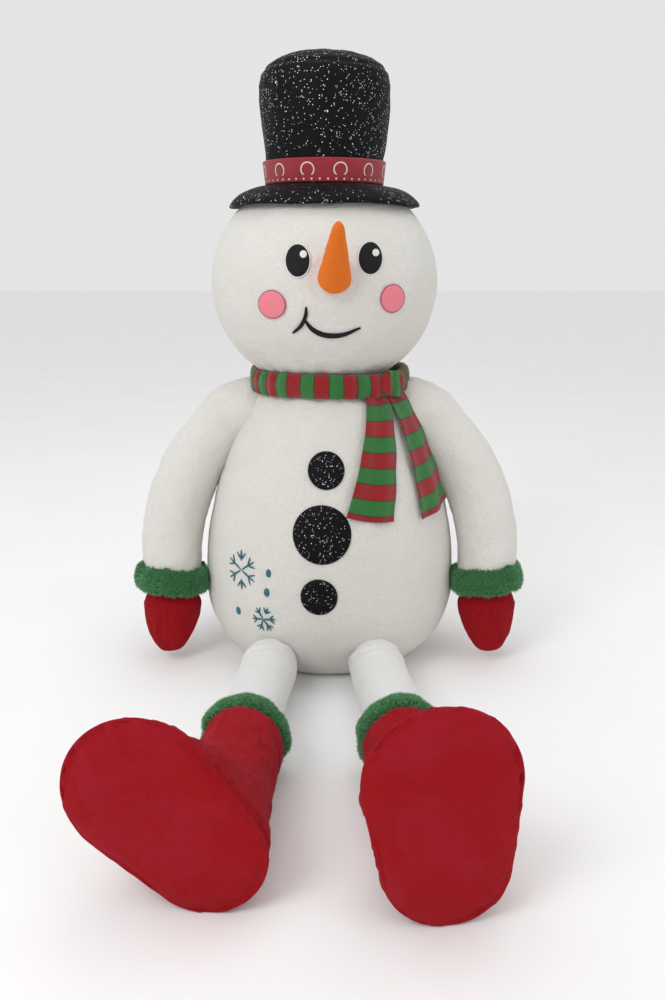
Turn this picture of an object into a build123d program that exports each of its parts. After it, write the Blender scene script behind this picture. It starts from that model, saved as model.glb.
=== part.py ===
from build123d import *
from math import asin, cos, degrees, radians, sin, sqrt
import os

os.makedirs("parts", exist_ok=True)

# A jumbo seated snowman: a plush cover over an air-filled torso, with stuffed head, limbs, boots and hat.
# Millimetres, +Z up. The face looks along -Y and the snowman's own left hand is on +X.
# The origin is the centre of the flat base panel, on the floor.

# Cloth thicknesses and the gap kept between neighbouring pieces
COVER_T = 4.0
LIMB_T = 2.5
BLADDER_T = 1.0
GAP = 0.4

# Torso: a turned form with a flat base, a long side arc and a round shoulder
TORSO_R = 334.0
WIDE_Z = 190.0
LOW_ARC = 220.0
SIDE_ARC = 1000.0
SIDE_ANGLE = 28.0
SHOULDER_ARC = 240.0
NECK_Z = 757.0
BASE_PANEL_R = 216.0

# Head: a turned ball, flat where it sits on the neck
HEAD_X = -12.0
HEAD_R = 283.0
HEAD_ARC = 255.0
HEAD_Z = 978.0
HEAD_TOP_Z = 1208.0

# Shoulders and arms: the arm leaves the shoulder at an angle and follows the side of the torso
SHOULDER_X = 275.0
SHOULDER_Z = 622.0
SHOULDER_FACE_X = 236.0
SHOULDER_FACE_R = 76.0
ARM_R = 82.0
ARM_BEND = 485.0
ARM_DROP = 45.0
WRIST_Z = 186.0
ARM_FORWARD = 14.0
MITTEN_SIZE = (76.0, 58.0, 86.0)
MITTEN_SLEEVE = 78.0
FUR_T = 14.0

# Hips, legs and boots
HIP_Y = -315.0
HIP_Z = 72.0
LEG_R = 68.0
LEG_LENGTH = 395.0
LEG_CUFF_LENGTH = 56.0
SHAFT_R = 84.0
HEEL_R = 107.0
TOE_R = 130.0
TOE_RISE = 150.0
# how far behind the sole's seam, how far the toe has dropped there, and how much both ends have shrunk
FOOT_STEPS = ((40.0, 22.0, 3.0), (90.0, 78.0, 14.0), (136.0, 120.0, 26.0))
SOLE_T = 14.0

# Hat
BRIM_IN_R = 131.0
BRIM_OUT_R = 234.0
BRIM_Z = 1196.0
CROWN_Z = 1202.0
HAT_TOP_Z = 1504.0
CROWN_TOP_R = 162.0
CROWN_EDGE_R = 50.0
BAND_H = 52.0

# Back zip, on the side arc of the torso's back
ZIP_LOW_Z = 200.0
ZIP_ANGLE = 22.0
ZIP_OPENING = 30.0
COIL_W = 6.0


def save(piece, name):
    """Names a finished piece and writes it as one STEP file."""
    piece.part.label = name
    export_step(piece.part, f"parts/{name}.step")


def facing(azimuth, height=0.0):
    """A plane through the Z axis that looks outwards, azimuth degrees from the front towards +X."""
    turn = radians(azimuth)
    across = (cos(turn), sin(turn), 0)
    outward = (sin(turn), -cos(turn), 0)
    return Plane(origin=(0, 0, height), x_dir=across, z_dir=outward)


def hip(side):
    """Centre of the ball at the top of a leg."""
    return Vector(130.0 * side - 16.0, HIP_Y, HIP_Z)


def heel(side):
    """Centre of the round heel end of a boot's sole."""
    return Vector(194.0, -1128.0, 108.0) if side > 0 else Vector(-205.0, -1098.0, 108.0)


def torso_form(grow):
    """The torso's outer form, offset by grow, with its shoulder stubs, arm recesses and hip sockets."""
    side_angle = radians(SIDE_ANGLE)
    low_c = (TORSO_R - LOW_ARC, WIDE_Z)
    side_c = (TORSO_R - SIDE_ARC, WIDE_Z)
    reach = SIDE_ARC - SHOULDER_ARC
    top_c = (side_c[0] + reach * cos(side_angle), side_c[1] + reach * sin(side_angle))
    low_start = degrees(asin((WIDE_Z + grow) / (LOW_ARC + grow)))
    top_end = degrees(asin((NECK_Z + grow - top_c[1]) / (SHOULDER_ARC + grow)))
    with BuildPart() as form:
        with BuildSketch(Plane.XZ):
            with BuildLine():
                low = CenterArc(low_c, LOW_ARC + grow, -low_start, low_start)
                CenterArc(side_c, SIDE_ARC + grow, 0, SIDE_ANGLE)
                top = CenterArc(top_c, SHOULDER_ARC + grow, SIDE_ANGLE, top_end - SIDE_ANGLE)
                Polyline(low @ 0, (0, -grow), (0, NECK_Z + grow), top @ 1)
            make_face()
        revolve(axis=Axis.Z)
        for side in (1, -1):
            face = Plane(origin=(side * (SHOULDER_FACE_X + grow), 0, SHOULDER_Z), z_dir=(side, 0, 0))
            with BuildSketch(face):
                Circle(SHOULDER_FACE_R + grow)
            extrude(amount=-110)
            with BuildSketch(face):
                Circle(ARM_R + GAP - grow)
            extrude(amount=100, mode=Mode.SUBTRACT)
            with Locations(hip(side)):
                Sphere(LEG_R + GAP - grow, mode=Mode.SUBTRACT)
    return form.part


def head_form(grow):
    """The head's outer form, offset by grow: one turned arc between two flats."""
    centre = (HEAD_R - HEAD_ARC, HEAD_Z)
    low = degrees(asin((HEAD_Z - NECK_Z - GAP + grow) / (HEAD_ARC + grow)))
    high = degrees(asin((HEAD_TOP_Z - HEAD_Z + grow) / (HEAD_ARC + grow)))
    middle = Plane(origin=(HEAD_X, 0, 0), x_dir=(1, 0, 0), z_dir=(0, -1, 0))
    with BuildPart() as form:
        with BuildSketch(middle):
            with BuildLine():
                side = CenterArc(centre, HEAD_ARC + grow, -low, low + high)
                Polyline(side @ 0, (0, (side @ 0).Y), (0, (side @ 1).Y), side @ 1)
            make_face()
        revolve(axis=Axis((HEAD_X, 0, 0), (0, 0, 1)))
    return form.part


def layer(form, inner, outer):
    """A thin layer that lies on a form, between two offsets."""
    with BuildPart() as sheet:
        add(form(outer))
        add(form(inner), mode=Mode.SUBTRACT)
    return sheet.part


# ---------------------------------------------------------------- torso

with BuildPart() as torso_cover:
    add(torso_form(0))
    add(torso_form(-COVER_T), mode=Mode.SUBTRACT)
    with BuildSketch(Plane.XY.offset(-1)):
        Circle(BASE_PANEL_R + GAP)
    extrude(amount=COVER_T + 1, mode=Mode.SUBTRACT)
    zip_top_z = ZIP_LOW_Z + SIDE_ARC * sin(radians(ZIP_ANGLE)) + 20
    with BuildSketch(Plane.XZ):
        with Locations((0, (ZIP_LOW_Z + zip_top_z) / 2 - 10)):
            Rectangle(ZIP_OPENING, zip_top_z - ZIP_LOW_Z + 20)
    extrude(amount=-400, mode=Mode.SUBTRACT)
save(torso_cover, "torso_cover")

with BuildPart() as base_panel:
    with BuildSketch():
        Circle(BASE_PANEL_R)
    extrude(amount=COVER_T - GAP)
save(base_panel, "base_panel")

VALVE_Z = 150.0
VALVE_R = 22.0
VALVE_CAP_R = 17.0
BLADDER_OUT = -COVER_T - GAP
valve_y = TORSO_R - LOW_ARC + sqrt((LOW_ARC + BLADDER_OUT) ** 2 - (WIDE_Z - VALVE_Z) ** 2)
valve_plane = Plane(origin=(0, valve_y - 6.5, VALVE_Z), x_dir=(-1, 0, 0), z_dir=(0, 1, 0))

with BuildPart() as torso_bladder:
    add(torso_form(BLADDER_OUT))
    add(torso_form(BLADDER_OUT - BLADDER_T), mode=Mode.SUBTRACT)
    with BuildSketch(valve_plane):
        Circle(VALVE_R + 0.1)
    extrude(amount=30, both=True, mode=Mode.SUBTRACT)
save(torso_bladder, "torso_bladder")

with BuildPart() as valve_body:
    with BuildSketch(valve_plane.offset(-16)):
        Circle(VALVE_R)
    extrude(amount=16)
    with BuildSketch(valve_plane.offset(-6)):
        Circle(VALVE_CAP_R + GAP)
    extrude(amount=6, mode=Mode.SUBTRACT)
    with BuildSketch(valve_plane.offset(-16)):
        Circle(9)
    extrude(amount=16, mode=Mode.SUBTRACT)
save(valve_body, "valve_body")

with BuildPart() as valve_cap:
    with BuildSketch(valve_plane.offset(-5.5)):
        Circle(VALVE_CAP_R)
    extrude(amount=5)
    with BuildSketch(valve_plane.offset(-0.5)):
        with PolarLocations(11, 2):
            Circle(3)
    extrude(amount=-3, mode=Mode.SUBTRACT)
    with BuildSketch(valve_plane.offset(-5.5)):
        Circle(8.94)
    extrude(amount=-7)
save(valve_cap, "valve_cap")

# ---------------------------------------------------------------- back zip


def zip_strip(inner, outer, low_angle, high_angle, x_low, x_high):
    """A strip that follows the torso's back, between two angles of its side arc."""
    centre = (TORSO_R - SIDE_ARC, WIDE_Z)
    sweep_angle = high_angle - low_angle
    with BuildPart() as strip:
        with BuildSketch(Plane.YZ.offset(x_low)):
            with BuildLine():
                low = CenterArc(centre, SIDE_ARC + inner, low_angle, sweep_angle)
                high = CenterArc(centre, SIDE_ARC + outer, low_angle, sweep_angle)
                Line(low @ 0, high @ 0)
                Line(low @ 1, high @ 1)
            make_face()
        extrude(amount=x_high - x_low)
    return strip.part


ZIP_START = degrees(asin((ZIP_LOW_Z - WIDE_Z) / SIDE_ARC)) - 0.5
ZIP_END = ZIP_START + ZIP_ANGLE + 1.5
TAPE_EDGE = COIL_W / 2 + 0.2

with BuildPart() as zip_tape_left:
    add(zip_strip(-2.6, -1.0, ZIP_START, ZIP_END, TAPE_EDGE, ZIP_OPENING / 2 - 0.2))
save(zip_tape_left, "zip_tape_left")

with BuildPart() as zip_tape_right:
    add(zip_strip(-2.6, -1.0, ZIP_START, ZIP_END, 0.2 - ZIP_OPENING / 2, -TAPE_EDGE))
save(zip_tape_right, "zip_tape_right")

with BuildPart() as zip_coil:
    add(zip_strip(-3.0, -0.4, ZIP_START + 0.3, ZIP_END - 0.3, -COIL_W / 2, COIL_W / 2))
save(zip_coil, "zip_coil")

with BuildPart() as zip_stops:
    add(zip_strip(0, 2.5, ZIP_START + 0.1, ZIP_START + 0.35, -5, 5))
    add(zip_strip(0, 2.5, ZIP_END - 0.35, ZIP_END - 0.1, -5, 5))
save(zip_stops, "zip_stops")

# The slider stands on the coil at the bottom of the zip, with a cross bar that holds the pull
SLIDER_L = 14.0
SLIDER_ANGLE = ZIP_START + 1.0
BAR_R = 1.2
BAR_OUT = 6.4
slider_centre_z = WIDE_Z + SIDE_ARC * sin(radians(SLIDER_ANGLE))
slider_y = TORSO_R - SIDE_ARC + SIDE_ARC * cos(radians(SLIDER_ANGLE))

with BuildPart() as zip_slider:
    with BuildSketch(Plane.XY.offset(slider_centre_z - SLIDER_L / 2)):
        with Locations((0, slider_y + 1.9)):
            Rectangle(10, 2.6)
    extrude(amount=SLIDER_L)
    with BuildSketch(Plane.XY.offset(slider_centre_z - 2.5)):
        with Locations((4, slider_y + 5.0), (-4, slider_y + 5.0)):
            Rectangle(1.6, 6)
    extrude(amount=5)
    with BuildSketch(Plane.YZ.offset(-4)):
        with Locations((slider_y + BAR_OUT, slider_centre_z)):
            Circle(BAR_R)
    extrude(amount=8)
save(zip_slider, "zip_slider")

with BuildPart() as zip_pull:
    with BuildSketch(Plane.YZ.offset(-2.8)):
        with Locations((slider_y + BAR_OUT, slider_centre_z)):
            Circle(2.3)
    extrude(amount=5.6)
    with BuildSketch(Plane.XZ.offset(-(slider_y + BAR_OUT - 0.9))):
        with Locations((0, slider_centre_z - 15)):
            RectangleRounded(5.6, 28, 2.6)
    extrude(amount=-1.8)
    with BuildSketch(Plane.YZ.offset(-5)):
        with Locations((slider_y + BAR_OUT, slider_centre_z)):
            Circle(BAR_R + 0.08)
    extrude(amount=10, mode=Mode.SUBTRACT)
save(zip_pull, "zip_pull")

# ---------------------------------------------------------------- front of the torso

button_layer = layer(torso_form, 0.3, 7.0)
for name, x, z, radius in (
    ("button_top", -7, 553, 42),
    ("button_middle", -17, 406, 68),
    ("button_bottom", -24, 257, 43),
):
    with BuildPart() as button:
        with BuildSketch(Plane.XZ.offset(150)):
            with Locations((x, z)):
                Circle(radius)
        extrude(amount=300)
        add(button_layer, mode=Mode.INTERSECT)
    save(button, name)

embroidery_layer = layer(torso_form, 0.2, 1.7)


def snowflake(azimuth, across, z, radius, name):
    """Six stitched arms, each with a pair of barbs and a short bar near the centre."""
    with BuildPart() as flake:
        with BuildSketch(facing(azimuth, z).offset(100)):
            with Locations((across, 0)):
                RegularPolygon(radius * 0.16, 6)
                with PolarLocations(0, 6):
                    with Locations((radius / 2, 0)):
                        Rectangle(radius, radius * 0.1)
                    for turn in (45, -45):
                        with Locations(Location((radius * 0.56, 0), turn)):
                            Rectangle(radius * 0.38, radius * 0.09, align=(Align.MIN, Align.CENTER))
        extrude(amount=300)
        add(embroidery_layer, mode=Mode.INTERSECT)
    save(flake, name)


snowflake(-38, -19, 296, 50, "snowflake_large")
snowflake(-28, -5, 184, 34, "snowflake_small")

with BuildPart() as snow_dots:
    with BuildSketch(facing(-30).offset(100)):
        with Locations((20, 304), (16, 255), (-74, 187)):
            Ellipse(8, 11)
    extrude(amount=300)
    add(embroidery_layer, mode=Mode.INTERSECT)
save(snow_dots, "snow_dots")

# ---------------------------------------------------------------- scarf

COLLAR_R = 188.0
COLLAR_Z = 738.0
KNOT_AZIMUTH = 52.0
with BuildPart() as scarf_collar:
    with BuildSketch(Plane.XZ):
        with Locations((COLLAR_R, COLLAR_Z)):
            Ellipse(22, 25)
    revolve(axis=Axis.Z)
save(scarf_collar, "scarf_collar")

with BuildPart() as scarf_knot:
    with BuildSketch(facing(KNOT_AZIMUTH, 746).offset(COLLAR_R + 22.5)):
        RectangleRounded(84, 62, 14)
    extrude(amount=22)
    fillet(scarf_knot.faces().sort_by(lambda face: face.center().Y * -1)[-1].edges(), 6)
    with Locations((0, 0, 746)):
        Cylinder(COLLAR_R + 22.3, 100, mode=Mode.SUBTRACT)
save(scarf_knot, "scarf_knot")

TAIL_TOP_Z = 706.0
tail_layer = layer(torso_form, 8.0, 12.5)
for name, azimuth, outline in (
    ("scarf_tail_under", 40, ((-27, TAIL_TOP_Z), (27, TAIL_TOP_Z), (-60, 428), (-158, 446))),
    ("scarf_tail_over", 58, ((-28, TAIL_TOP_Z), (28, TAIL_TOP_Z), (58, 440), (-60, 418))),
):
    with BuildPart() as tail:
        with BuildSketch(facing(azimuth).offset(60)):
            with BuildLine():
                Polyline(*outline, close=True)
            make_face()
        extrude(amount=400)
        add(tail_layer, mode=Mode.INTERSECT)
    save(tail, name)

# ---------------------------------------------------------------- head and face

with BuildPart() as head_skin:
    add(head_form(0))
    add(head_form(-COVER_T), mode=Mode.SUBTRACT)
save(head_skin, "head_skin")

with BuildPart() as head_filling:
    add(head_form(-COVER_T - GAP))
save(head_filling, "head_filling")

NOSE_BASE = Vector(11, -282, 993)
NOSE_TIP = Vector(21, -415, 1116)
NOSE_BASE_R = 38.0
NOSE_TIP_R = 9.0
nose_axis = (NOSE_TIP - NOSE_BASE).normalized()
nose_plane = Plane(origin=NOSE_BASE - nose_axis * 45, x_dir=(1, 0, 0), z_dir=nose_axis)


def nose_form(grow):
    """A blunt cone that stands on the face and points up and forwards."""
    length = (NOSE_TIP - NOSE_BASE).length + 45
    with BuildPart() as form:
        with BuildSketch(nose_plane):
            Circle(NOSE_BASE_R + 5 + grow)
        with BuildSketch(nose_plane.offset(length - NOSE_TIP_R)):
            Circle(NOSE_TIP_R + grow)
        loft()
        with Locations(nose_plane.offset(length - NOSE_TIP_R)):
            Sphere(NOSE_TIP_R + grow)
        add(head_form(GAP - grow), mode=Mode.SUBTRACT)
    return form.part


with BuildPart() as nose_skin:
    add(nose_form(0))
    add(nose_form(-1.5), mode=Mode.SUBTRACT)
save(nose_skin, "nose_skin")

with BuildPart() as nose_filling:
    add(nose_form(-1.5 - GAP))
save(nose_filling, "nose_filling")

patch_layer = layer(head_form, 0.2, 2.2)
glint_layer = layer(head_form, 2.3, 3.3)
for name, x, z, half_w, half_h in (
    ("right_eye", -69, 1036, 27, 35),
    ("left_eye", 92, 1041, 27, 35),
    ("right_cheek", -129, 940, 31, 31),
    ("left_cheek", 145, 952, 28, 31),
):
    with BuildPart() as patch:
        with BuildSketch(Plane.XZ.offset(100)):
            with Locations((x, z)):
                Ellipse(half_w, half_h)
        extrude(amount=300)
        add(patch_layer, mode=Mode.INTERSECT)
    save(patch, name)

with BuildPart() as eye_glints:
    with BuildSketch(Plane.XZ.offset(100)):
        with Locations((-56, 1049), (103, 1052)):
            Circle(7.5)
    extrude(amount=300)
    add(glint_layer, mode=Mode.INTERSECT)
save(eye_glints, "eye_glints")

MOUTH_W = 11.0
with BuildPart() as mouth:
    with BuildSketch(Plane.XZ.offset(100)):
        with BuildLine():
            Spline((-51, 936), (-56, 908), (-83, 876))
            Spline((-56, 908), (-37, 885), (-8, 871), (42, 874), (72, 888))
        trace(line_width=MOUTH_W)
    extrude(amount=300)
    add(patch_layer, mode=Mode.INTERSECT)
save(mouth, "mouth")

# ---------------------------------------------------------------- hat

head_axis = Axis((HEAD_X, 0, 0), (0, 0, 1))
head_middle = Plane(origin=(HEAD_X, 0, 0), x_dir=(1, 0, 0), z_dir=(0, -1, 0))


def crown_form(grow):
    """The tall crown, narrow at the band, wider above, with a round top edge."""
    with BuildPart() as form:
        with BuildSketch(head_middle) as section:
            with BuildLine():
                rim = (BRIM_IN_R + grow, CROWN_Z - grow)
                corner = (CROWN_TOP_R + grow, HAT_TOP_Z + grow)
                Polyline((0, CROWN_Z - grow), rim, corner, (0, HAT_TOP_Z + grow), close=True)
            make_face()
            fillet(section.vertices().sort_by(Axis.X)[-1], CROWN_EDGE_R + grow)
        revolve(axis=head_axis)
        add(head_form(2 - grow), mode=Mode.SUBTRACT)
    return form.part


with BuildPart() as hat_crown:
    add(crown_form(0))
    add(crown_form(-LIMB_T), mode=Mode.SUBTRACT)
save(hat_crown, "hat_crown")

with BuildPart() as hat_filling:
    add(crown_form(-LIMB_T - GAP))
save(hat_filling, "hat_filling")

BRIM_T = 22.0
BRIM_DROP = 24.0
brim_in = BRIM_IN_R + 8
brim_edge_z = BRIM_Z - BRIM_DROP
with BuildPart() as hat_brim:
    with BuildSketch(head_middle) as brim_section:
        with BuildLine():
            Polyline(
                (brim_in, CROWN_Z - 2),
                (BRIM_OUT_R, brim_edge_z - BRIM_T),
                (BRIM_OUT_R, brim_edge_z),
                (brim_in, CROWN_Z + 8),
                close=True,
            )
        make_face()
        fillet(brim_section.vertices().sort_by(Axis.X)[-2:], 9)
    revolve(axis=head_axis)
    add(head_form(0.6), mode=Mode.SUBTRACT)
save(hat_brim, "hat_brim")

band_low = CROWN_Z + 10
with BuildPart() as hat_band:
    with BuildSketch(head_middle):
        with BuildLine():
            Polyline((141, band_low), (146, band_low), (149, band_low + BAND_H), (144, band_low + BAND_H))
            Line((144, band_low + BAND_H), (141, band_low))
        make_face()
    revolve(axis=head_axis)
    add(crown_form(0.3), mode=Mode.SUBTRACT)
save(hat_band, "hat_band")

# ---------------------------------------------------------------- arms

ELBOW_X = SHOULDER_X - ARM_BEND * cos(radians(ARM_DROP)) + ARM_BEND
ELBOW_Z = SHOULDER_Z - ARM_BEND * sin(radians(ARM_DROP))
shoulder_axis = Axis((0, 0, SHOULDER_Z), (1, 0, 0))


def clear_of_torso(grow):
    """The space the torso's side needs while an arm swings: the side arc turned about the shoulder axis."""
    centre = (TORSO_R - SIDE_ARC, WIDE_Z)
    with BuildPart() as space:
        with BuildSketch(Plane.XZ):
            with BuildLine():
                side = CenterArc(centre, SIDE_ARC + 2.5 + grow, 0, SIDE_ANGLE - 5)
                low = (side @ 0).X
                rim_z = SHOULDER_Z - ARM_R - GAP / 2
                Polyline(side @ 0, (low, 0), (100, 0), (100, (side @ 1).Y), side @ 1)
            make_face()
            with Locations((100, rim_z)):
                Rectangle(400, 200, align=(Align.MIN, Align.MIN), mode=Mode.SUBTRACT)
            with Locations((100, SHOULDER_Z)):
                Rectangle(
                    SHOULDER_FACE_X + GAP + grow - 100,
                    ARM_R + 5,
                    align=(Align.MIN, Align.MAX),
                )
        revolve(axis=shoulder_axis)
    return space.part


def arm_form(grow):
    """The left arm's outer form, hanging straight down: a ball, a bend and a straight forearm."""
    with BuildPart() as form:
        with Locations((SHOULDER_X, 0, SHOULDER_Z)):
            Sphere(ARM_R - 2 + grow)
        with BuildSketch(Plane.XY.offset(ELBOW_Z)):
            with Locations((ELBOW_X, 0)):
                Circle(ARM_R - 2 + grow)
        revolve(axis=Axis((ELBOW_X - ARM_BEND, 0, ELBOW_Z), (0, -1, 0)), revolution_arc=ARM_DROP)
        with BuildSketch(Plane.XY.offset(ELBOW_Z)):
            with Locations((ELBOW_X, 0)):
                Circle(ARM_R - 2 + grow)
        extrude(amount=WRIST_Z - ELBOW_Z - grow)
        add(clear_of_torso(-grow), mode=Mode.SUBTRACT)
    return form.part


def mitten_form(grow):
    """The left mitten: a flattened egg on a short sleeve, open plane at the wrist."""
    half_x, half_y, half_z = MITTEN_SIZE
    top_z = WRIST_Z - GAP
    with BuildPart() as form:
        Sphere(1)
        scale(by=(half_x + grow, half_y + grow, half_z + grow))
    with BuildPart() as hand:
        with Locations((ELBOW_X, 0, top_z - MITTEN_SLEEVE)):
            add(form.part)
        with BuildSketch(Plane.XY.offset(top_z + grow)):
            with Locations((ELBOW_X, 0)):
                Ellipse(half_x - 4 + grow, half_y - 2 + grow)
        extrude(amount=-MITTEN_SLEEVE)
        with BuildSketch(Plane.XY.offset(top_z + grow)):
            Rectangle(1200, 400)
        extrude(amount=60, mode=Mode.SUBTRACT)
    return hand.part


def hang(part, side):
    """Swings an arm piece forwards about the shoulder axis and mirrors it for the right side."""
    swung = part.rotate(shoulder_axis, -ARM_FORWARD)
    return swung if side > 0 else swung.mirror(Plane.YZ)


CUFF_LOW_Z = WRIST_Z - 8
CUFF_H = 66.0
arm_outer = arm_form(0)
arm_inner = arm_form(-LIMB_T)
arm_core = arm_form(-LIMB_T - GAP)
mitten_outer = mitten_form(0)
mitten_inner = mitten_form(-LIMB_T)
mitten_core = mitten_form(-LIMB_T - GAP)
cuff_plane = Plane(origin=(ELBOW_X, 0, CUFF_LOW_Z), z_dir=(0, 0, 1))

for side, name in ((1, "left"), (-1, "right")):
    with BuildPart() as arm_skin:
        add(hang(arm_outer, side))
        add(hang(arm_inner, side), mode=Mode.SUBTRACT)
    save(arm_skin, f"{name}_arm_skin")

    with BuildPart() as arm_filling:
        add(hang(arm_core, side))
    save(arm_filling, f"{name}_arm_filling")

    with BuildPart() as mitten_skin:
        add(hang(mitten_outer, side))
        add(hang(mitten_inner, side), mode=Mode.SUBTRACT)
    save(mitten_skin, f"{name}_mitten_skin")

    with BuildPart() as mitten_filling:
        add(hang(mitten_core, side))
    save(mitten_filling, f"{name}_mitten_filling")

    with BuildPart() as ring:
        with BuildSketch(cuff_plane):
            Circle(ARM_R - 2 + GAP + FUR_T)
            Circle(ARM_R - 2 + GAP, mode=Mode.SUBTRACT)
        extrude(amount=CUFF_H)
        fillet(ring.edges().filter_by(GeomType.CIRCLE).sort_by(SortBy.RADIUS)[-2:], 6)
    with BuildPart() as arm_cuff:
        add(hang(ring.part, side))
    save(arm_cuff, f"{name}_arm_cuff")

# ---------------------------------------------------------------- legs and boots


def leg_plane(side, distance, roll=0.0):
    """A plane across the leg, at a distance from the hip, with its Y up and then rolled about the leg."""
    along = (heel(side) - hip(side)).normalized()
    up = (Vector(0, 0, 1) - along * along.Z).normalized()
    across = up.cross(along)
    rolled = across * cos(radians(roll)) + up * sin(radians(roll))
    return Plane(origin=hip(side) + along * distance, x_dir=rolled, z_dir=along)


def boot_form(side, roll, grow, front):
    """The boot's outer form: a round shaft and a foot that rounds in towards it, up to front past the seam."""
    sole_at = (heel(side) - hip(side)).length - SOLE_T
    shaft_at = LEG_LENGTH + GAP
    first_back, first_drop, first_shrink = FOOT_STEPS[0]
    front_share = -front / first_back
    front_step = (-front, front_share * first_drop, front_share * first_shrink)
    with BuildPart() as form:
        for back, drop, shrink in (front_step, *FOOT_STEPS):
            with BuildSketch(leg_plane(side, sole_at - back - (grow if back > 100 else 0), roll)):
                Circle(HEEL_R - shrink + grow)
                with Locations((0, TOE_RISE - drop)):
                    Circle(TOE_R - shrink + grow)
                make_hull()
        loft(ruled=True)
        with BuildSketch(leg_plane(side, shaft_at - grow, roll)):
            Circle(SHAFT_R + grow)
        extrude(amount=sole_at - shaft_at - 40)
    return form.part


BOOT_ROLL = {1: 4.0, -1: 43.0}
for side, name in ((1, "left"), (-1, "right")):
    roll = BOOT_ROLL[side]
    sole_at = (heel(side) - hip(side)).length - SOLE_T

    with BuildPart() as leg_skin:
        with Locations(hip(side)):
            Sphere(LEG_R)
        with BuildSketch(leg_plane(side, 0)):
            Circle(LEG_R)
        extrude(amount=LEG_LENGTH)
        with Locations(hip(side)):
            Sphere(LEG_R - LIMB_T, mode=Mode.SUBTRACT)
        with BuildSketch(leg_plane(side, 0)):
            Circle(LEG_R - LIMB_T)
        extrude(amount=LEG_LENGTH - LIMB_T, mode=Mode.SUBTRACT)
    save(leg_skin, f"{name}_leg_skin")

    with BuildPart() as leg_filling:
        with Locations(hip(side)):
            Sphere(LEG_R - LIMB_T - GAP)
        with BuildSketch(leg_plane(side, 0)):
            Circle(LEG_R - LIMB_T - GAP)
        extrude(amount=LEG_LENGTH - LIMB_T - GAP)
    save(leg_filling, f"{name}_leg_filling")

    with BuildPart() as boot_cuff:
        with BuildSketch(leg_plane(side, LEG_LENGTH + GAP / 2 - LEG_CUFF_LENGTH)):
            Circle(SHAFT_R + 5)
            Circle(LEG_R + GAP, mode=Mode.SUBTRACT)
        extrude(amount=LEG_CUFF_LENGTH)
        outer_rims = boot_cuff.edges().filter_by(GeomType.CIRCLE).sort_by(SortBy.RADIUS)[-2:]
        fillet(outer_rims, 8)
    save(boot_cuff, f"{name}_boot_cuff")

    with BuildPart() as boot_upper:
        add(boot_form(side, roll, 0, 0))
        add(boot_form(side, roll, -LIMB_T, 1), mode=Mode.SUBTRACT)
    save(boot_upper, f"{name}_boot_upper")

    with BuildPart() as boot_filling:
        add(boot_form(side, roll, -LIMB_T - GAP, -GAP))
    save(boot_filling, f"{name}_boot_filling")

    with BuildPart() as boot_sole:
        with BuildSketch(leg_plane(side, sole_at + GAP / 2, roll)):
            Circle(HEEL_R)
            with Locations((0, TOE_RISE)):
                Circle(TOE_R)
            make_hull()
        extrude(amount=SOLE_T - GAP / 2)
        front = leg_plane(side, sole_at + SOLE_T, roll)
        rim = boot_sole.faces().sort_by_distance(front.origin + front.y_dir * TOE_RISE)[0]
        fillet(rim.edges(), 10)
    save(boot_sole, f"{name}_boot_sole")
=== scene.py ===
"""A jumbo seated snowman in plush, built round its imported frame: every length is in metres."""

from math import acos, asin, atan2, cos, exp, hypot, pi, radians, sin, sqrt
from random import Random

import bpy
from mathutils import Matrix, Vector


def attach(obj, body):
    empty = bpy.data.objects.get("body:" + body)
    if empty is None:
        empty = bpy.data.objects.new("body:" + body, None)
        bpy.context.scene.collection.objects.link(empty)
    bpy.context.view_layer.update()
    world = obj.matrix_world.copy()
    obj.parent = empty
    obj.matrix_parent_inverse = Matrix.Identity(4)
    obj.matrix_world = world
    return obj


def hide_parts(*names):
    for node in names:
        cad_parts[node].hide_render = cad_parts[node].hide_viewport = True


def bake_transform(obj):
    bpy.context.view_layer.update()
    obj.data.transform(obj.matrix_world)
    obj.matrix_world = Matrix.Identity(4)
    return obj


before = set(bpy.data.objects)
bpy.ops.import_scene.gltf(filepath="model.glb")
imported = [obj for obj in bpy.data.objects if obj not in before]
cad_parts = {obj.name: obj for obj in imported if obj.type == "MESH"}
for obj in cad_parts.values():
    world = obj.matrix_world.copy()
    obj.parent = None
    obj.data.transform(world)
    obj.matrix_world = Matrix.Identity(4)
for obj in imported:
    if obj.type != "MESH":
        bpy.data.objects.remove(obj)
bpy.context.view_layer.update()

# ---------------------------------------------------------------- the maker's measures

WIDE_R, WIDE_Z = 0.334, 0.190          # the torso's widest ring
LOW_ARC, SIDE_ARC, TOP_ARC = 0.220, 1.000, 0.240
SIDE_ANGLE = radians(28)
NECK_Z = 0.757
HEAD_C = Vector((-0.012, 0, 0.978))
HEAD_R, HEAD_ARC = 0.283, 0.255
HEAD_LOW_Z, HEAD_TOP_Z = 0.760, 1.207
SHOULDER = Vector((0, 0, 0.622))
ARM_FORWARD = radians(14)
WRIST = Vector((0.417, 0, 0.186))
HIP = {"left": Vector((0.114, -0.315, 0.072)), "right": Vector((-0.146, -0.315, 0.072))}
HEEL = {"left": Vector((0.194, -1.128, 0.108)), "right": Vector((-0.205, -1.098, 0.108))}
BOOT_ROLL = {"left": radians(4), "right": radians(43)}
HEEL_R, TOE_R, TOE_RISE = 0.107, 0.130, 0.150
SOLE_T = 0.014
ZIP_LOW_Z, ZIP_HIGH_Z = 0.196, 0.584
SIDE = {"left": 1, "right": -1}
CLOTH_FRAMES, STUFFING_PRESSURE = 16, 3.0
TUFT_LENGTH = 0.0115
RING_TUBE = 0.25                        # a unit ring's tube radius
FLOOR_PRESS = 0.004                     # soft pieces flatten within this height of the floor

CAMERA_AT, CAMERA_TILT, CAMERA_LENS = (0.008, -2.345, 1.070), radians(74.18), 32.4
ROOM_LIGHT = 0.78

# ---------------------------------------------------------------- workshop tools


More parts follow.
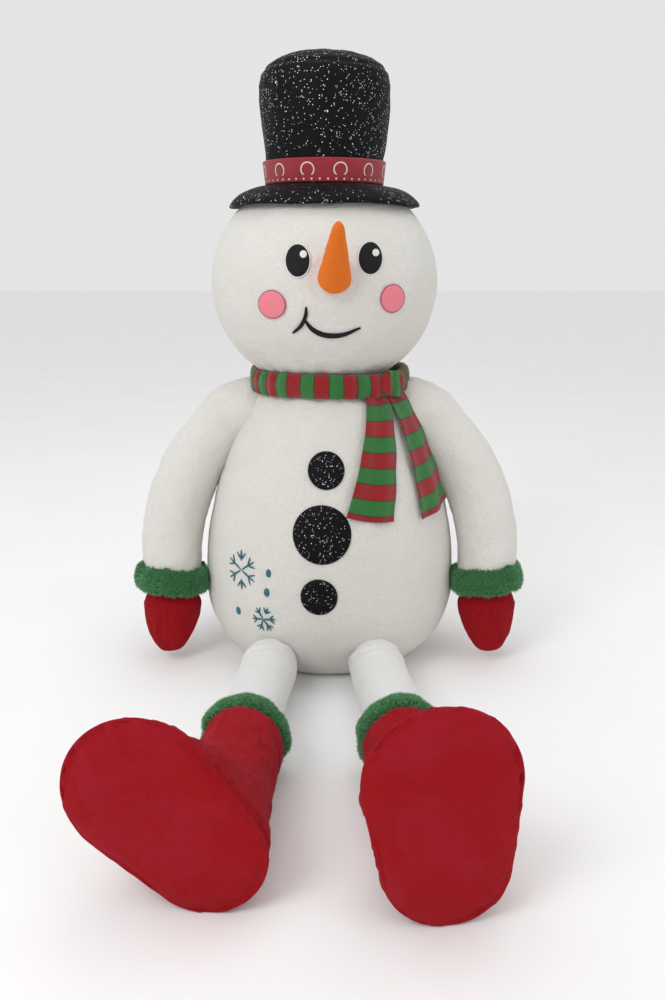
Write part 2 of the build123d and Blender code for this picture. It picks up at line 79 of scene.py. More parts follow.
def only(obj):
    """Makes obj the one selected, active object."""
    if bpy.context.mode != "OBJECT":
        bpy.ops.object.mode_set(mode="OBJECT")
    bpy.ops.object.select_all(action="DESELECT")
    obj.select_set(True)
    bpy.context.view_layer.objects.active = obj
    return obj


def ball(name, segments, rings):
    """A unit ball to mould a piece from."""
    bpy.ops.object.select_all(action="DESELECT")
    bpy.ops.mesh.primitive_uv_sphere_add(segments=segments, ring_count=rings, radius=1)
    obj = bpy.context.object
    obj.name = obj.data.name = name
    return obj


def ring(name, around, across):
    """A unit ring to mould a piece from."""
    bpy.ops.object.select_all(action="DESELECT")
    bpy.ops.mesh.primitive_torus_add(
        major_radius=1, minor_radius=RING_TUBE, major_segments=around, minor_segments=across)
    obj = bpy.context.object
    obj.name = obj.data.name = name
    return obj


def down_and_round(p):
    """A unit ball's point as the share of the way from top to bottom, and the turn about the middle."""
    return acos(max(-1, min(1, p.z))) / pi, atan2(p.y, p.x)


def tube_turns(p):
    """A unit ring's point as the turn round the ring, and the turn round its tube."""
    return atan2(p.y, p.x), atan2(p.z, hypot(p.x, p.y) - 1)


def round_cap(share, low, high):
    """How a tube's radius closes in a round end at each side: 1 between the shares low and high."""
    cap = 1.0
    if share < low:
        cap *= sqrt(max(0.0, 1 - (1 - share / low) ** 2))
    if share > high:
        cap *= sqrt(max(0.0, 1 - ((share - high) / (1 - high)) ** 2))
    return cap


def mould(obj, place):
    """Moves every point of a mesh to place(point)."""
    for v in obj.data.vertices:
        v.co = place(v.co.copy())
    obj.data.update()
    return obj


def modify(obj, kind, **settings):
    """Adds one modifier, sets it and applies it."""
    only(obj)
    m = obj.modifiers.new(kind.title(), kind)
    for key, value in settings.items():
        setattr(m, key, value)
    bpy.ops.object.modifier_apply(modifier=m.name)
    return obj


def lump(obj, size, depth):
    """Gives a stuffed surface its soft unevenness: lumps of a size, so deep in all."""
    texture = bpy.data.textures.new("stuffing", "CLOUDS")
    texture.noise_scale = size
    modify(obj, "DISPLACE", texture=texture, strength=depth, mid_level=0.5, texture_coords="LOCAL")
    bpy.data.textures.remove(texture)
    return obj


def stuff(obj, voxel, held, most):
    """Lets cloth settle over its stuffing: held(point) is 1 where a seam keeps it, and most caps the move."""
    modify(obj, "REMESH", mode="VOXEL", voxel_size=voxel)
    start = [v.co.copy() for v in obj.data.vertices]
    pins = obj.vertex_groups.new(name="seam")
    for v in obj.data.vertices:
        pins.add([v.index], held(v.co), "REPLACE")
    only(obj)
    cloth = obj.modifiers.new("Cloth", "CLOTH")
    cloth.settings.quality = 4
    cloth.settings.mass = 0.3
    cloth.settings.tension_stiffness = cloth.settings.compression_stiffness = 12
    cloth.settings.shear_stiffness = 8
    cloth.settings.bending_stiffness = 0.4
    cloth.settings.use_pressure = True
    cloth.settings.uniform_pressure_force = STUFFING_PRESSURE
    cloth.settings.shrink_min = -0.05
    cloth.settings.vertex_group_mass = "seam"
    cloth.settings.effector_weights.gravity = 0
    cloth.collision_settings.use_collision = False
    cloth.collision_settings.use_self_collision = False
    cloth.point_cache.frame_start, cloth.point_cache.frame_end = 1, CLOTH_FRAMES
    for at in range(1, CLOTH_FRAMES + 1):
        bpy.context.scene.frame_set(at)
    bpy.ops.object.modifier_apply(modifier=cloth.name)
    bpy.context.scene.frame_set(1)
    for v, was in zip(obj.data.vertices, start):
        move = v.co - was
        if move.length > most:
            v.co = was + move.normalized() * most
    obj.vertex_groups.clear()
    return obj


def finish_mesh(obj):
    """Flattens what would sink into the floor, then outward normals and smooth shading."""
    for v in obj.data.vertices:
        if v.co.z < FLOOR_PRESS:
            v.co.z = FLOOR_PRESS * exp(v.co.z / FLOOR_PRESS - 1)
    obj.data.update()
    only(obj)
    bpy.ops.object.mode_set(mode="EDIT")
    bpy.ops.mesh.select_all(action="SELECT")
    bpy.ops.mesh.normals_make_consistent(inside=False)
    bpy.ops.object.mode_set(mode="OBJECT")
    bpy.ops.object.shade_smooth()
    return obj


def fuse(name, parts, voxel, rounds):
    """Joins closed forms into one skin and softens the folds between them."""
    bpy.ops.object.select_all(action="DESELECT")
    for part in parts:
        part.select_set(True)
    bpy.context.view_layer.objects.active = parts[0]
    bpy.ops.object.join()
    obj = bpy.context.object
    obj.name = obj.data.name = name
    modify(obj, "REMESH", mode="VOXEL", voxel_size=voxel)
    modify(obj, "SMOOTH", factor=0.5, iterations=rounds)
    return obj


def sew(obj, body, slot, material, *nodes, fill=0.9):
    """Finishes a padded piece: its body, finish and material, and the CAD nodes it stands for; fill is not
    used.
    """
    finish_mesh(obj)
    obj.data.materials.clear()
    obj.data.materials.append(material)
    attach(obj, body)
    if nodes:
        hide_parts(*nodes)
    return obj


def groove(distance, width, depth):
    """How far a sewn seam pulls the cloth in, at a distance from its line."""
    return depth * exp(-(distance / width) ** 2)


def soft_step(low, high, value):
    """A smooth rise from 0 at low to 1 at high."""
    t = min(1.0, max(0.0, (value - low) / (high - low)))
    return t * t * (3 - 2 * t)


# ---------------------------------------------------------------- forms shared by pieces


def torso_radius(z):
    """The torso's radius at a height, as its three arcs give it."""
    if z < WIDE_Z:
        return WIDE_R - LOW_ARC + sqrt(max(0.0, LOW_ARC ** 2 - (WIDE_Z - z) ** 2))
    shoulder_z = WIDE_Z + SIDE_ARC * sin(SIDE_ANGLE)
    if z < shoulder_z:
        return WIDE_R - SIDE_ARC + sqrt(SIDE_ARC ** 2 - (z - WIDE_Z) ** 2)
    reach = SIDE_ARC - TOP_ARC
    centre_r = WIDE_R - SIDE_ARC + reach * cos(SIDE_ANGLE)
    centre_z = WIDE_Z + reach * sin(SIDE_ANGLE)
    return centre_r + sqrt(max(0.0, TOP_ARC ** 2 - (z - centre_z) ** 2))


def head_radius(z):
    """The head's radius at a height."""
    return HEAD_R - HEAD_ARC + sqrt(max(0.0, HEAD_ARC ** 2 - (z - HEAD_C.z) ** 2))


def on_form(radius, centre_x, x, z, out=0.0):
    """The front point of a turned form at (x, z), moved outwards by out."""
    across = x - centre_x
    r = radius(z)
    y = -sqrt(max(1e-6, r * r - across * across))
    slope = (radius(z + 0.002) - radius(z - 0.002)) / 0.004
    normal = Vector((across / r, y / r, -slope)).normalized()
    return Vector((x, y, z)) + normal * out


def on_torso(x, z, out=0.0):
    return on_form(torso_radius, 0.0, x, z, out)


def on_head(x, z, out=0.0):
    return on_form(head_radius, HEAD_C.x, x, z, out)


def along(points, share):
    """The point a share of the way along a run of points, by their length."""
    lengths = [0.0]
    for a, b in zip(points, points[1:]):
        lengths.append(lengths[-1] + hypot(b[0] - a[0], b[1] - a[1]))
    target = share * lengths[-1]
    for i in range(len(points) - 1):
        if target <= lengths[i + 1] or i == len(points) - 2:
            part = (target - lengths[i]) / max(1e-9, lengths[i + 1] - lengths[i])
            a, b = points[i], points[i + 1]
            return a[0] + (b[0] - a[0]) * part, a[1] + (b[1] - a[1]) * part


def turned(name, profile, segments, rings, centre=Vector((0, 0, 0))):
    """A turned form from a ball: profile is (radius, height) points from the top's middle to the bottom's."""
    obj = ball(name, segments, rings)
    table = [along(profile, i / rings) for i in range(rings + 1)]

    def place(p):
        ring_at = min(rings, max(0, round(acos(max(-1, min(1, p.z))) / pi * rings)))
        r, z = table[ring_at]
        turn = atan2(p.y, p.x)
        if ring_at in (0, rings):
            r = 0.0
        return Vector((centre.x + r * cos(turn), centre.y + r * sin(turn), z))

    return mould(obj, place)


def bezier(a, b, c, d, t):
    """A point of a Bezier curve."""
    s = 1 - t
    return a * s ** 3 + b * (3 * s * s * t) + c * (3 * s * t * t) + d * t ** 3


def pad_on(name, place_on, x, z, half_w, half_h, thick, segments=64, rings=24, lift=0.0):
    """A sewn disc that hugs a turned form: a flattened ball laid on it, thick at its middle."""
    obj = ball(name, segments, rings)

    def place(p):
        flat_r = hypot(p.x, p.y)
        spread = sin(pi / 2 * min(1.0, flat_r)) if flat_r < 1 else 1.0
        turn = atan2(p.y, p.x)
        rise = lift + (thick * (1 - flat_r ** 4) if p.z > 0 else -0.002)
        return place_on(x + half_w * spread * cos(turn), z + half_h * spread * sin(turn), rise)

    return mould(obj, place)


# ---------------------------------------------------------------- materials


class Look:
    """One material's nodes, with short ways to add and join them."""

    def __init__(self, name):
        self.material = bpy.data.materials.new(name)
        self.material.use_nodes = True
        self.tree = self.material.node_tree
        self.shader = self.tree.nodes["Principled BSDF"]

    def node(self, kind, **inputs):
        made = self.tree.nodes.new(kind)
        for key, value in inputs.items():
            self.feed(made, key, value)
        return made

    def feed(self, node, key, value):
        name = key.replace("_", " ")
        socket = node.inputs[name] if name in node.inputs else node.inputs[key]
        if hasattr(value, "is_output") and value.is_output:
            self.tree.links.new(value, socket)
        else:
            socket.default_value = value

    def finish(self, **sockets):
        for key, value in sockets.items():
            self.feed(self.shader, key, value)
        return self.material

    def group(self, tree, **inputs):
        made = self.tree.nodes.new("ShaderNodeGroup")
        made.node_tree = tree
        for key, value in inputs.items():
            self.feed(made, key, value)
        return made

    def coords(self, kind="Object"):
        return self.node("ShaderNodeTexCoord").outputs[kind]

    def math(self, operation, a, b=0.0, c=0.0):
        made = self.tree.nodes.new("ShaderNodeMath")
        made.operation = operation
        for i, value in enumerate((a, b, c)):
            if hasattr(value, "is_output"):
                self.tree.links.new(value, made.inputs[i])
            else:
                made.inputs[i].default_value = value
        return made.outputs[0]

    def length(self, across, up):
        """The length of the sum of two sides at a right angle."""
        both = self.math("ADD", self.math("MULTIPLY", across, across), self.math("MULTIPLY", up, up))
        return self.math("SQRT", both)

    def from_middle(self, value, pitch):
        """How far a value is from the middle of the repeat it falls in."""
        cell = self.math("SUBTRACT", self.math("FRACT", self.math("DIVIDE", value, pitch)), 0.5)
        return self.math("MULTIPLY", cell, pitch)

    def blend(self, factor, a, b):
        made = self.tree.nodes.new("ShaderNodeMix")
        made.data_type = "RGBA"
        for socket, value in ((made.inputs[0], factor), (made.inputs[6], a), (made.inputs[7], b)):
            if hasattr(value, "is_output"):
                self.tree.links.new(value, socket)
            else:
                socket.default_value = value
        return made.outputs[2]

    def bump(self, height, distance, strength=1.0):
        made = self.node("ShaderNodeBump", Strength=strength, Distance=distance)
        self.tree.links.new(height, made.inputs["Height"])
        return made.outputs["Normal"]


def paint(red, green, blue):
    """A colour from its 0 to 255 values, as the shader takes it."""
    def linear(c):
        c /= 255
        return c / 12.92 if c <= 0.04045 else ((c + 0.055) / 1.055) ** 2.4
    return (linear(red), linear(green), linear(blue), 1.0)


def effect(name, inputs, outputs):
    """An empty node group for an effect that several materials use."""
    tree = bpy.data.node_groups.new(name, "ShaderNodeTree")
    for label, kind, value in inputs:
        socket = tree.interface.new_socket(label, in_out="INPUT", socket_type=kind)
        if value is not None:
            socket.default_value = value
    for label, kind in outputs:
        tree.interface.new_socket(label, in_out="OUTPUT", socket_type=kind)
    return tree, tree.nodes.new("NodeGroupInput"), tree.nodes.new("NodeGroupOutput")


def tree_node(tree, kind, **settings):
    made = tree.nodes.new(kind)
    for key, value in settings.items():
        setattr(made, key, value)
    return made


def tree_noise(tree, vector, scale, detail=2.0, **inputs):
    """A noise in a group: scale is a number or another node's output."""
    made = tree_node(tree, "ShaderNodeTexNoise")
    tree.links.new(vector, made.inputs["Vector"])
    made.inputs["Detail"].default_value = detail
    for name, value in inputs.items():
        made.inputs[name].default_value = value
    if hasattr(scale, "is_output"):
        tree.links.new(scale, made.inputs["Scale"])
    else:
        made.inputs["Scale"].default_value = scale
    return made.outputs["Fac"]


def tree_math(tree, operation, a, b=0.0):
    made = tree_node(tree, "ShaderNodeMath", operation=operation)
    for i, value in enumerate((a, b)):
        if hasattr(value, "is_output"):
            tree.links.new(value, made.inputs[i])
        else:
            made.inputs[i].default_value = value
    return made.outputs[0]


def pile_effect():
    """Short pile: its height, the patches where it lies the other way, for painted sheen and shade, and the
    fibres, for painted shade between them.
    """
    tree, given, out = effect(
        "pile",
        (("Vector", "NodeSocketVector", None), ("Fibre", "NodeSocketFloat", 900.0),
         ("Patch", "NodeSocketFloat", 9.0)),
        (("Height", "NodeSocketFloat"), ("SheenPatch", "NodeSocketFloat"), ("Tips", "NodeSocketFloat")))
    vector, count = given.outputs["Vector"], given.outputs["Fibre"]
    fibre = tree_noise(tree, vector, count, 3, Roughness=0.7)
    clump = tree_noise(tree, vector, tree_math(tree, "MULTIPLY", count, 0.2))
    patch = tree_noise(tree, vector, given.outputs["Patch"], 3, Distortion=1.2)
    fine, coarse = tree_math(tree, "MULTIPLY", fibre, 0.55), tree_math(tree, "MULTIPLY", clump, 0.75)
    tree.links.new(tree_math(tree, "ADD", fine, coarse), out.inputs["Height"])
    tree.links.new(patch, out.inputs["SheenPatch"])
    tree.links.new(fibre, out.inputs["Tips"])
    return tree


def glitter_effect():
    """Glitter: a mask of flakes, the way each one leans, and the pebbled cloth under them."""
    tree, given, out = effect(
        "glitter",
        (("Vector", "NodeSocketVector", None), ("Scale", "NodeSocketFloat", 420.0),
         ("Share", "NodeSocketFloat", 0.72)),
        (("Flake", "NodeSocketFloat"), ("Lean", "NodeSocketVector"), ("Pebble", "NodeSocketFloat")))
    cells = tree_node(tree, "ShaderNodeTexVoronoi")
    tree.links.new(given.outputs["Vector"], cells.inputs["Vector"])
    tree.links.new(given.outputs["Scale"], cells.inputs["Scale"])
    parts = tree_node(tree, "ShaderNodeSeparateColor")
    tree.links.new(cells.outputs["Color"], parts.inputs["Color"])
    chosen = tree_math(tree, "GREATER_THAN", parts.outputs[0], given.outputs["Share"])
    near = tree_math(tree, "LESS_THAN", cells.outputs["Distance"], 0.42)
    tree.links.new(tree_math(tree, "MULTIPLY", chosen, near), out.inputs["Flake"])
    centred = tree_node(tree, "ShaderNodeVectorMath", operation="SUBTRACT")
    tree.links.new(cells.outputs["Color"], centred.inputs[0])
    centred.inputs[1].default_value = (0.5, 0.5, 0.5)
    shape = tree_node(tree, "ShaderNodeNewGeometry")
    leaning = tree_node(tree, "ShaderNodeVectorMath", operation="MULTIPLY_ADD")
    tree.links.new(centred.outputs[0], leaning.inputs[0])
    leaning.inputs[1].default_value = (1.5, 1.5, 1.5)
    tree.links.new(shape.outputs["Normal"], leaning.inputs[2])
    unit = tree_node(tree, "ShaderNodeVectorMath", operation="NORMALIZE")
    tree.links.new(leaning.outputs[0], unit.inputs[0])
    tree.links.new(unit.outputs[0], out.inputs["Lean"])
    pebble_scale = tree_math(tree, "MULTIPLY", given.outputs["Scale"], 0.6)
    tree.links.new(tree_noise(tree, given.outputs["Vector"], pebble_scale), out.inputs["Pebble"])
    return tree


def stitch_effect():
    """Satin stitch: close parallel threads across a patch, each with its own shade."""
    tree, given, out = effect(
        "satin_stitch",
        (("Vector", "NodeSocketVector", None), ("Threads", "NodeSocketFloat", 1400.0)),
        (("Height", "NodeSocketFloat"), ("Shade", "NodeSocketFloat")))
    wave = tree_node(tree, "ShaderNodeTexWave", wave_type="BANDS", bands_direction="DIAGONAL")
    tree.links.new(given.outputs["Vector"], wave.inputs["Vector"])
    tree.links.new(tree_math(tree, "MULTIPLY", given.outputs["Threads"], 0.16), wave.inputs["Scale"])
    wave.inputs["Distortion"].default_value = 0.6
    wave.inputs["Detail Scale"].default_value = 2.0
    tree.links.new(wave.outputs["Fac"], out.inputs["Height"])
    tree.links.new(tree_noise(tree, given.outputs["Vector"], 260), out.inputs["Shade"])
    return tree


def weave_effect():
    """A plain weave: threads over and under, from a flat map in metres."""
    tree, given, out = effect(
        "weave",
        (("Vector", "NodeSocketVector", None), ("Threads", "NodeSocketFloat", 700.0)),
        (("Height", "NodeSocketFloat"), ("Slub", "NodeSocketFloat")))
    parts = tree_node(tree, "ShaderNodeSeparateXYZ")
    tree.links.new(given.outputs["Vector"], parts.inputs[0])
    waves = []
    for axis in (0, 1):
        turn = tree_math(tree, "MULTIPLY", parts.outputs[axis], given.outputs["Threads"])
        waves.append(tree_math(tree, "SINE", tree_math(tree, "MULTIPLY", turn, pi)))
    tree.links.new(tree_math(tree, "MULTIPLY", waves[0], waves[1]), out.inputs["Height"])
    tree.links.new(tree_noise(tree, given.outputs["Vector"], 160), out.inputs["Slub"])
    return tree


PILE, GLITTER, STITCH, WEAVE = pile_effect(), glitter_effect(), stitch_effect(), weave_effect()


def plush(name, base, shaded, sheen_patch_colour, fibre=900.0, patch=9.0, bump=0.0016, sheen=0.18, tint=(1, 1, 1, 1)):
    """Short plush: darker between the fibres, as painted shade, and a second tone in patches where the pile
    lies the other way, as painted sheen and shade.
    """
    look = Look(name)
    pile = look.group(PILE, Vector=look.coords(), Fibre=fibre, Patch=patch)
    # Painted sheen and shade: in noise patches the colour is blended towards a second tone that stands for the
    # light on pile lying the other way.
    sheen_patch = look.node("ShaderNodeMapRange", Value=pile.outputs["SheenPatch"])
    sheen_patch.inputs["From Min"].default_value, sheen_patch.inputs["From Max"].default_value = 0.46, 0.66
    # Painted shade: where the fine fibre noise is low, the colour goes to the shaded tone, as if between the
    # fibres.
    tips = look.node("ShaderNodeMapRange", Value=pile.outputs["Tips"])
    tips.inputs["From Min"].default_value, tips.inputs["From Max"].default_value = 0.30, 0.62
    body = look.blend(tips.outputs[0], shaded, base)
    colour = look.blend(look.math("MULTIPLY", sheen_patch.outputs[0], 0.75), body, sheen_patch_colour)
    return look.finish(
        Base_Color=colour, Roughness=0.92, Sheen_Weight=sheen, Sheen_Roughness=0.4, Sheen_Tint=tint,
        Specular_IOR_Level=0.15, Normal=look.bump(pile.outputs["Height"], bump))


def glitter_cloth(name, share=0.90, scale=330.0):
    """Black cloth with silver glitter fixed on it."""
    look = Look(name)
    made = look.group(GLITTER, Vector=look.coords(), Scale=scale, Share=share)
    flake = made.outputs["Flake"]
    cloth_normal = look.bump(made.outputs["Pebble"], 0.0012)
    mix = look.tree.nodes.new("ShaderNodeMix")
    mix.data_type = "VECTOR"
    for place, value in ((0, flake), (4, cloth_normal), (5, made.outputs["Lean"])):
        look.tree.links.new(value, mix.inputs[place])
    colour = look.blend(flake, paint(7, 7, 9), paint(225, 228, 238))
    rough = look.math("SUBTRACT", 0.62, look.math("MULTIPLY", flake, 0.42))
    return look.finish(
        Base_Color=colour, Metallic=look.math("MULTIPLY", flake, 0.9), Roughness=rough, Normal=mix.outputs[1],
        Specular_IOR_Level=0.15)


def thread(name, dark, light, rough=0.42, threads=1400.0):
    """Satin-stitched embroidery thread."""
    look = Look(name)
    made = look.group(STITCH, Vector=look.coords(), Threads=threads)
    colour = look.blend(made.outputs["Shade"], dark, light)
    return look.finish(
        Base_Color=colour, Roughness=rough, Specular_IOR_Level=0.3,
        Normal=look.bump(made.outputs["Height"], 0.0006))


def striped_cloth(name, stripe, line=0.0012):
    """Red and green stripes with a thin dark line between them, read from the cloth's own map in metres."""
    look = Look(name)
    uv = look.coords("UV")
    parts = look.node("ShaderNodeSeparateXYZ", Vector=uv)
    weave = look.group(WEAVE, Vector=uv, Threads=620.0)
    step = look.math("DIVIDE", parts.outputs[1], stripe)
    even = look.math("GREATER_THAN", look.math("MODULO", look.math("ADD", step, 100.0), 2.0), 1.0)
    half_step = look.math("FRACT", look.math("ADD", step, 100.5))
    edge = look.math("ABSOLUTE", look.math("SUBTRACT", half_step, 0.5))
    dark_line = look.math("LESS_THAN", edge, line / stripe)
    slub = weave.outputs["Slub"]
    red = look.blend(slub, paint(128, 18, 26), paint(172, 34, 42))
    green = look.blend(slub, paint(32, 96, 42), paint(58, 134, 60))
    colour = look.blend(dark_line, look.blend(even, red, green), paint(70, 46, 30))
    fuzz = look.node("ShaderNodeTexNoise", Vector=look.coords(), Scale=900.0, Detail=2.0)
    height = look.math("ADD", weave.outputs["Height"], fuzz.outputs["Fac"])
    return look.finish(Base_Color=colour, Roughness=0.85, Sheen_Weight=0.25, Specular_IOR_Level=0.2,
                       Normal=look.bump(height, 0.0005))


def band_ribbon(name):
    """Red woven ribbon with a row of pale open rings and a line of small dots under them."""
    look = Look(name)
    uv = look.coords("UV")
    parts = look.node("ShaderNodeSeparateXYZ", Vector=uv)
    weave = look.group(WEAVE, Vector=uv, Threads=1100.0)
    pitch, ring_r, ring_t = 0.076, 0.0150, 0.0030
    across = look.from_middle(parts.outputs[0], pitch)
    up = look.math("SUBTRACT", parts.outputs[1], 0.027)
    reach = look.length(across, up)
    on_ring = look.math("LESS_THAN", look.math("ABSOLUTE", look.math("SUBTRACT", reach, ring_r)), ring_t / 2)
    open_end = look.math("GREATER_THAN", look.math("ADD", up, 0.0115), 0.0)
    ring_mask = look.math("MULTIPLY", on_ring, open_end)
    dot_up = look.math("SUBTRACT", parts.outputs[1], 0.0065)
    dot_r = look.length(look.from_middle(parts.outputs[0], pitch / 4), dot_up)
    print_mask = look.math("MAXIMUM", ring_mask, look.math("LESS_THAN", dot_r, 0.0024))
    red = look.blend(weave.outputs["Slub"], paint(140, 16, 34), paint(176, 24, 44))
    colour = look.blend(print_mask, red, paint(232, 222, 218))
    return look.finish(Base_Color=colour, Roughness=0.5, Sheen_Weight=0.15,
                       Normal=look.bump(weave.outputs["Height"], 0.0003))


def fur_look(name):
    """Long green fur: painted shade that darkens each tuft towards its root, pale tips and uneven strands, from
    each tuft's own height.
    """
    look = Look(name)
    tip = look.node("ShaderNodeAttribute")
    tip.attribute_name = "tip"
    shade = look.node("ShaderNodeTexNoise", Vector=look.coords(), Scale=120.0, Detail=3.0)
    strand = look.blend(shade.outputs["Fac"], paint(40, 128, 62), paint(112, 198, 128))
    # Painted shade: low on each tuft, and on the ring under the tufts, the colour goes to a dark green.
    colour = look.blend(tip.outputs["Fac"], paint(14, 66, 28), strand)
    return look.finish(Base_Color=colour, Roughness=0.75, Sheen_Weight=0.3, Specular_IOR_Level=0.25)


def moulded(name, colour, rough, metallic=0.0, grain=260.0):
    """Moulded or cast stock with a faint grain."""
    look = Look(name)
    grain_node = look.node("ShaderNodeTexNoise", Vector=look.coords(), Scale=grain, Detail=3.0)
    shade = look.blend(grain_node.outputs["Fac"], tuple(c * 0.86 for c in colour[:3]) + (1,), colour)
    return look.finish(Base_Color=shade, Roughness=rough, Metallic=metallic,
                       Normal=look.bump(grain_node.outputs["Fac"], 0.0002))


# Each plush takes its own colour, its painted shade between the fibres, and its painted sheen and shade tone
# for patches of pile lying the other way.
WHITE_PLUSH = plush(
    "white_plush", paint(240, 239, 235), paint(206, 202, 193), paint(226, 223, 215), fibre=620.0, bump=0.0036,
    patch=7.0)
LEG_PLUSH = plush(
    "leg_plush", paint(238, 238, 238), paint(216, 214, 211), paint(229, 228, 226), fibre=700.0, bump=0.0022,
    patch=7.0)
BOOT_PLUSH = plush(
    "boot_plush", paint(172, 18, 27), paint(118, 10, 17), paint(158, 26, 42), fibre=800.0, patch=6.0,
    bump=0.0024, sheen=0.16, tint=paint(225, 110, 140))
MITTEN_PLUSH = plush(
    "mitten_plush", paint(168, 16, 26), paint(112, 8, 15), paint(140, 16, 30), fibre=800.0, patch=10.0,
    bump=0.0024, sheen=0.14, tint=paint(225, 110, 130))
NOSE_CLOTH = plush(
    "nose_cloth", paint(232, 122, 40), paint(206, 96, 26), paint(222, 112, 40), fibre=1500.0, patch=16.0,
    bump=0.0006, sheen=0.3, tint=paint(255, 190, 120))
CHEEK_FELT = plush(
    "cheek_felt", paint(238, 140, 152), paint(218, 116, 132), paint(232, 132, 146), fibre=1600.0, patch=20.0,
    bump=0.0005)
GLITTER_CLOTH = glitter_cloth("glitter_cloth")
BUTTON_CLOTH = glitter_cloth("button_cloth", share=0.91, scale=380.0)
BLACK_THREAD = thread("black_thread", paint(5, 5, 7), paint(18, 18, 21), rough=0.6)
WHITE_THREAD = thread("white_thread", paint(225, 225, 225), paint(250, 250, 250))
TEAL_THREAD = thread("teal_thread", paint(28, 84, 96), paint(58, 136, 148), threads=1800.0)
CHEEK_THREAD = thread("cheek_thread", paint(150, 60, 78), paint(184, 84, 100), threads=2000.0)
SCARF_CLOTH = striped_cloth("scarf_cloth", 0.037)
COLLAR_CLOTH = striped_cloth("collar_cloth", 0.034)
BAND_RIBBON = band_ribbon("band_ribbon")
GREEN_FUR = fur_look("green_fur")
BASE_CLOTH = moulded("base_cloth", paint(206, 204, 198), 0.9, grain=900.0)
TAPE_CLOTH = moulded("tape_cloth", paint(232, 230, 224), 0.85, grain=1400.0)
COIL_NYLON = moulded("coil_nylon", paint(240, 239, 234), 0.35)
ZIP_METAL = moulded("zip_metal", paint(196, 197, 200), 0.28, metallic=1.0)
VINYL = moulded("vinyl", paint(214, 222, 226), 0.3)

# ---------------------------------------------------------------- torso


def torso_profile():
    """The torso's outline from the middle of its top to the middle of its base."""
    points = [(0.0, 0.752), (0.090, 0.754)]
    steps = 90
    for i in range(steps + 1):
        z = NECK_Z - 0.004 - (NECK_Z - 0.009) * i / steps
        points.append((torso_radius(z), z))
    points += [(0.206, 0.0015), (0.0, 0.0015)]
    return points


def sculpt_torso(p):
    """Seams pulled in at the sides, the hollows at the arms, and a sunken strip at the back where the zip
    shows.
    """
    z, turn = p.z, atan2(p.y, p.x)
    r = hypot(p.x, p.y)
    if r < 0.02 or z < 0.03 or z > 0.72:
        return p
    seam = min(abs(abs(turn) - pi) * r, abs(turn) * r)
    pull = groove(seam, 0.006, 0.0035) * soft_step(0.05, 0.12, z) * (1 - soft_step(0.40, 0.46, z))
    for side in (1, -1):
        reach = Vector((p.x - side * 0.275, 0, z - 0.600)).length
        if p.x * side > 0.15:
            pull += groove(reach - 0.090, 0.010, 0.0030)
    if p.y > 0 and ZIP_LOW_Z - 0.01 < z < ZIP_HIGH_Z + 0.01:
        open_here = soft_step(ZIP_LOW_Z - 0.004, ZIP_LOW_Z + 0.002, z)
        open_here *= 1 - soft_step(ZIP_HIGH_Z - 0.002, ZIP_HIGH_Z + 0.004, z)
        pull += 0.0100 * open_here * (1 - soft_step(0.0120, 0.0165, abs(p.x)))
        pull -= 0.0020 * open_here * groove(abs(p.x) - 0.0215, 0.004, 1.0)
    shrink = (r - pull + 0.0010) / r
    return Vector((p.x * shrink, p.y * shrink, z))


def make_torso():
    skin = turned("torso_plush", torso_profile(), 420, 216)
    mould(skin, sculpt_torso)
    lump(skin, 0.085, 0.0060)
    lump(skin, 0.013, 0.0022)
    return sew(skin, "torso", "white_plush", WHITE_PLUSH, "torso_cover", "torso_bladder", fill=0.9)


# ---------------------------------------------------------------- head


def head_profile():
    """The head's outline: flats where it meets the torso and where the hat sits."""
    points = [(0.0, HEAD_TOP_Z), (0.060, HEAD_TOP_Z)]
    steps = 90
    for i in range(steps + 1):
        z = HEAD_TOP_Z - (HEAD_TOP_Z - HEAD_LOW_Z) * i / steps
        points.append((head_radius(z), z))
    points += [(0.06, HEAD_LOW_Z), (0.0, HEAD_LOW_Z)]
    return points


def sculpt_head(p):
    """A pull round the nose, gathers at the neck, and seams pulled in at the back and sides."""
    r = hypot(p.x - HEAD_C.x, p.y)
    if r < 0.02:
        return p
    turn = atan2(p.y, p.x - HEAD_C.x)
    push = 0.0
    if p.y < 0:
        push -= groove(Vector((p.x - 0.011, 0, p.z - 0.993)).length - 0.046, 0.010, 0.0030)
    gather = sin(turn * 22 + 1.7 * sin(turn * 3)) * 0.0030 * (1 - soft_step(0.76, 0.83, p.z))
    back_seam = groove(abs(abs(turn - pi / 2)) * r, 0.005, 0.0030)
    side_seam = groove(min(abs(turn), abs(abs(turn) - pi)) * r, 0.005, 0.0016)
    grow = (r + push + gather - back_seam - side_seam) / r
    return Vector((HEAD_C.x + (p.x - HEAD_C.x) * grow, p.y * grow, p.z))


def make_head():
    skin = turned("head_plush", head_profile(), 320, 180, HEAD_C)
    mould(skin, sculpt_head)
    lump(skin, 0.075, 0.0060)
    lump(skin, 0.013, 0.0020)
    return sew(skin, "head", "white_plush", WHITE_PLUSH, "head_skin", "head_filling", fill=0.95)


def make_nose():
    """A stuffed cone, full at its foot and blunt at its tip."""
    foot, tip = Vector((0.011, -0.268, 0.978)), Vector((0.021, -0.414, 1.115))
    axis = (tip - foot).normalized()
    across = axis.cross(Vector((0, 0, 1))).normalized()
    up = across.cross(axis)
    length = (tip - foot).length
    nose = ball("nose_cone", 72, 56)

    def place(p):
        share, turn = down_and_round(p)
        cap_low, cap_high = 0.16, 0.88
        radius = 0.0415 * (1 - 0.76 * share ** 1.1)
        if share < cap_low:
            radius *= sin(share / cap_low * pi / 2) ** 0.7
        if share > cap_high:
            radius *= sqrt(max(0.0, 1 - ((share - cap_high) / (1 - cap_high)) ** 2))
        return foot + axis * (length * share) + across * (radius * cos(turn)) + up * (radius * sin(turn))

    mould(nose, place)
    lump(nose, 0.030, 0.0030)
    return sew(nose, "head", "orange_plush", NOSE_CLOTH, "nose_skin", "nose_filling", fill=0.95)


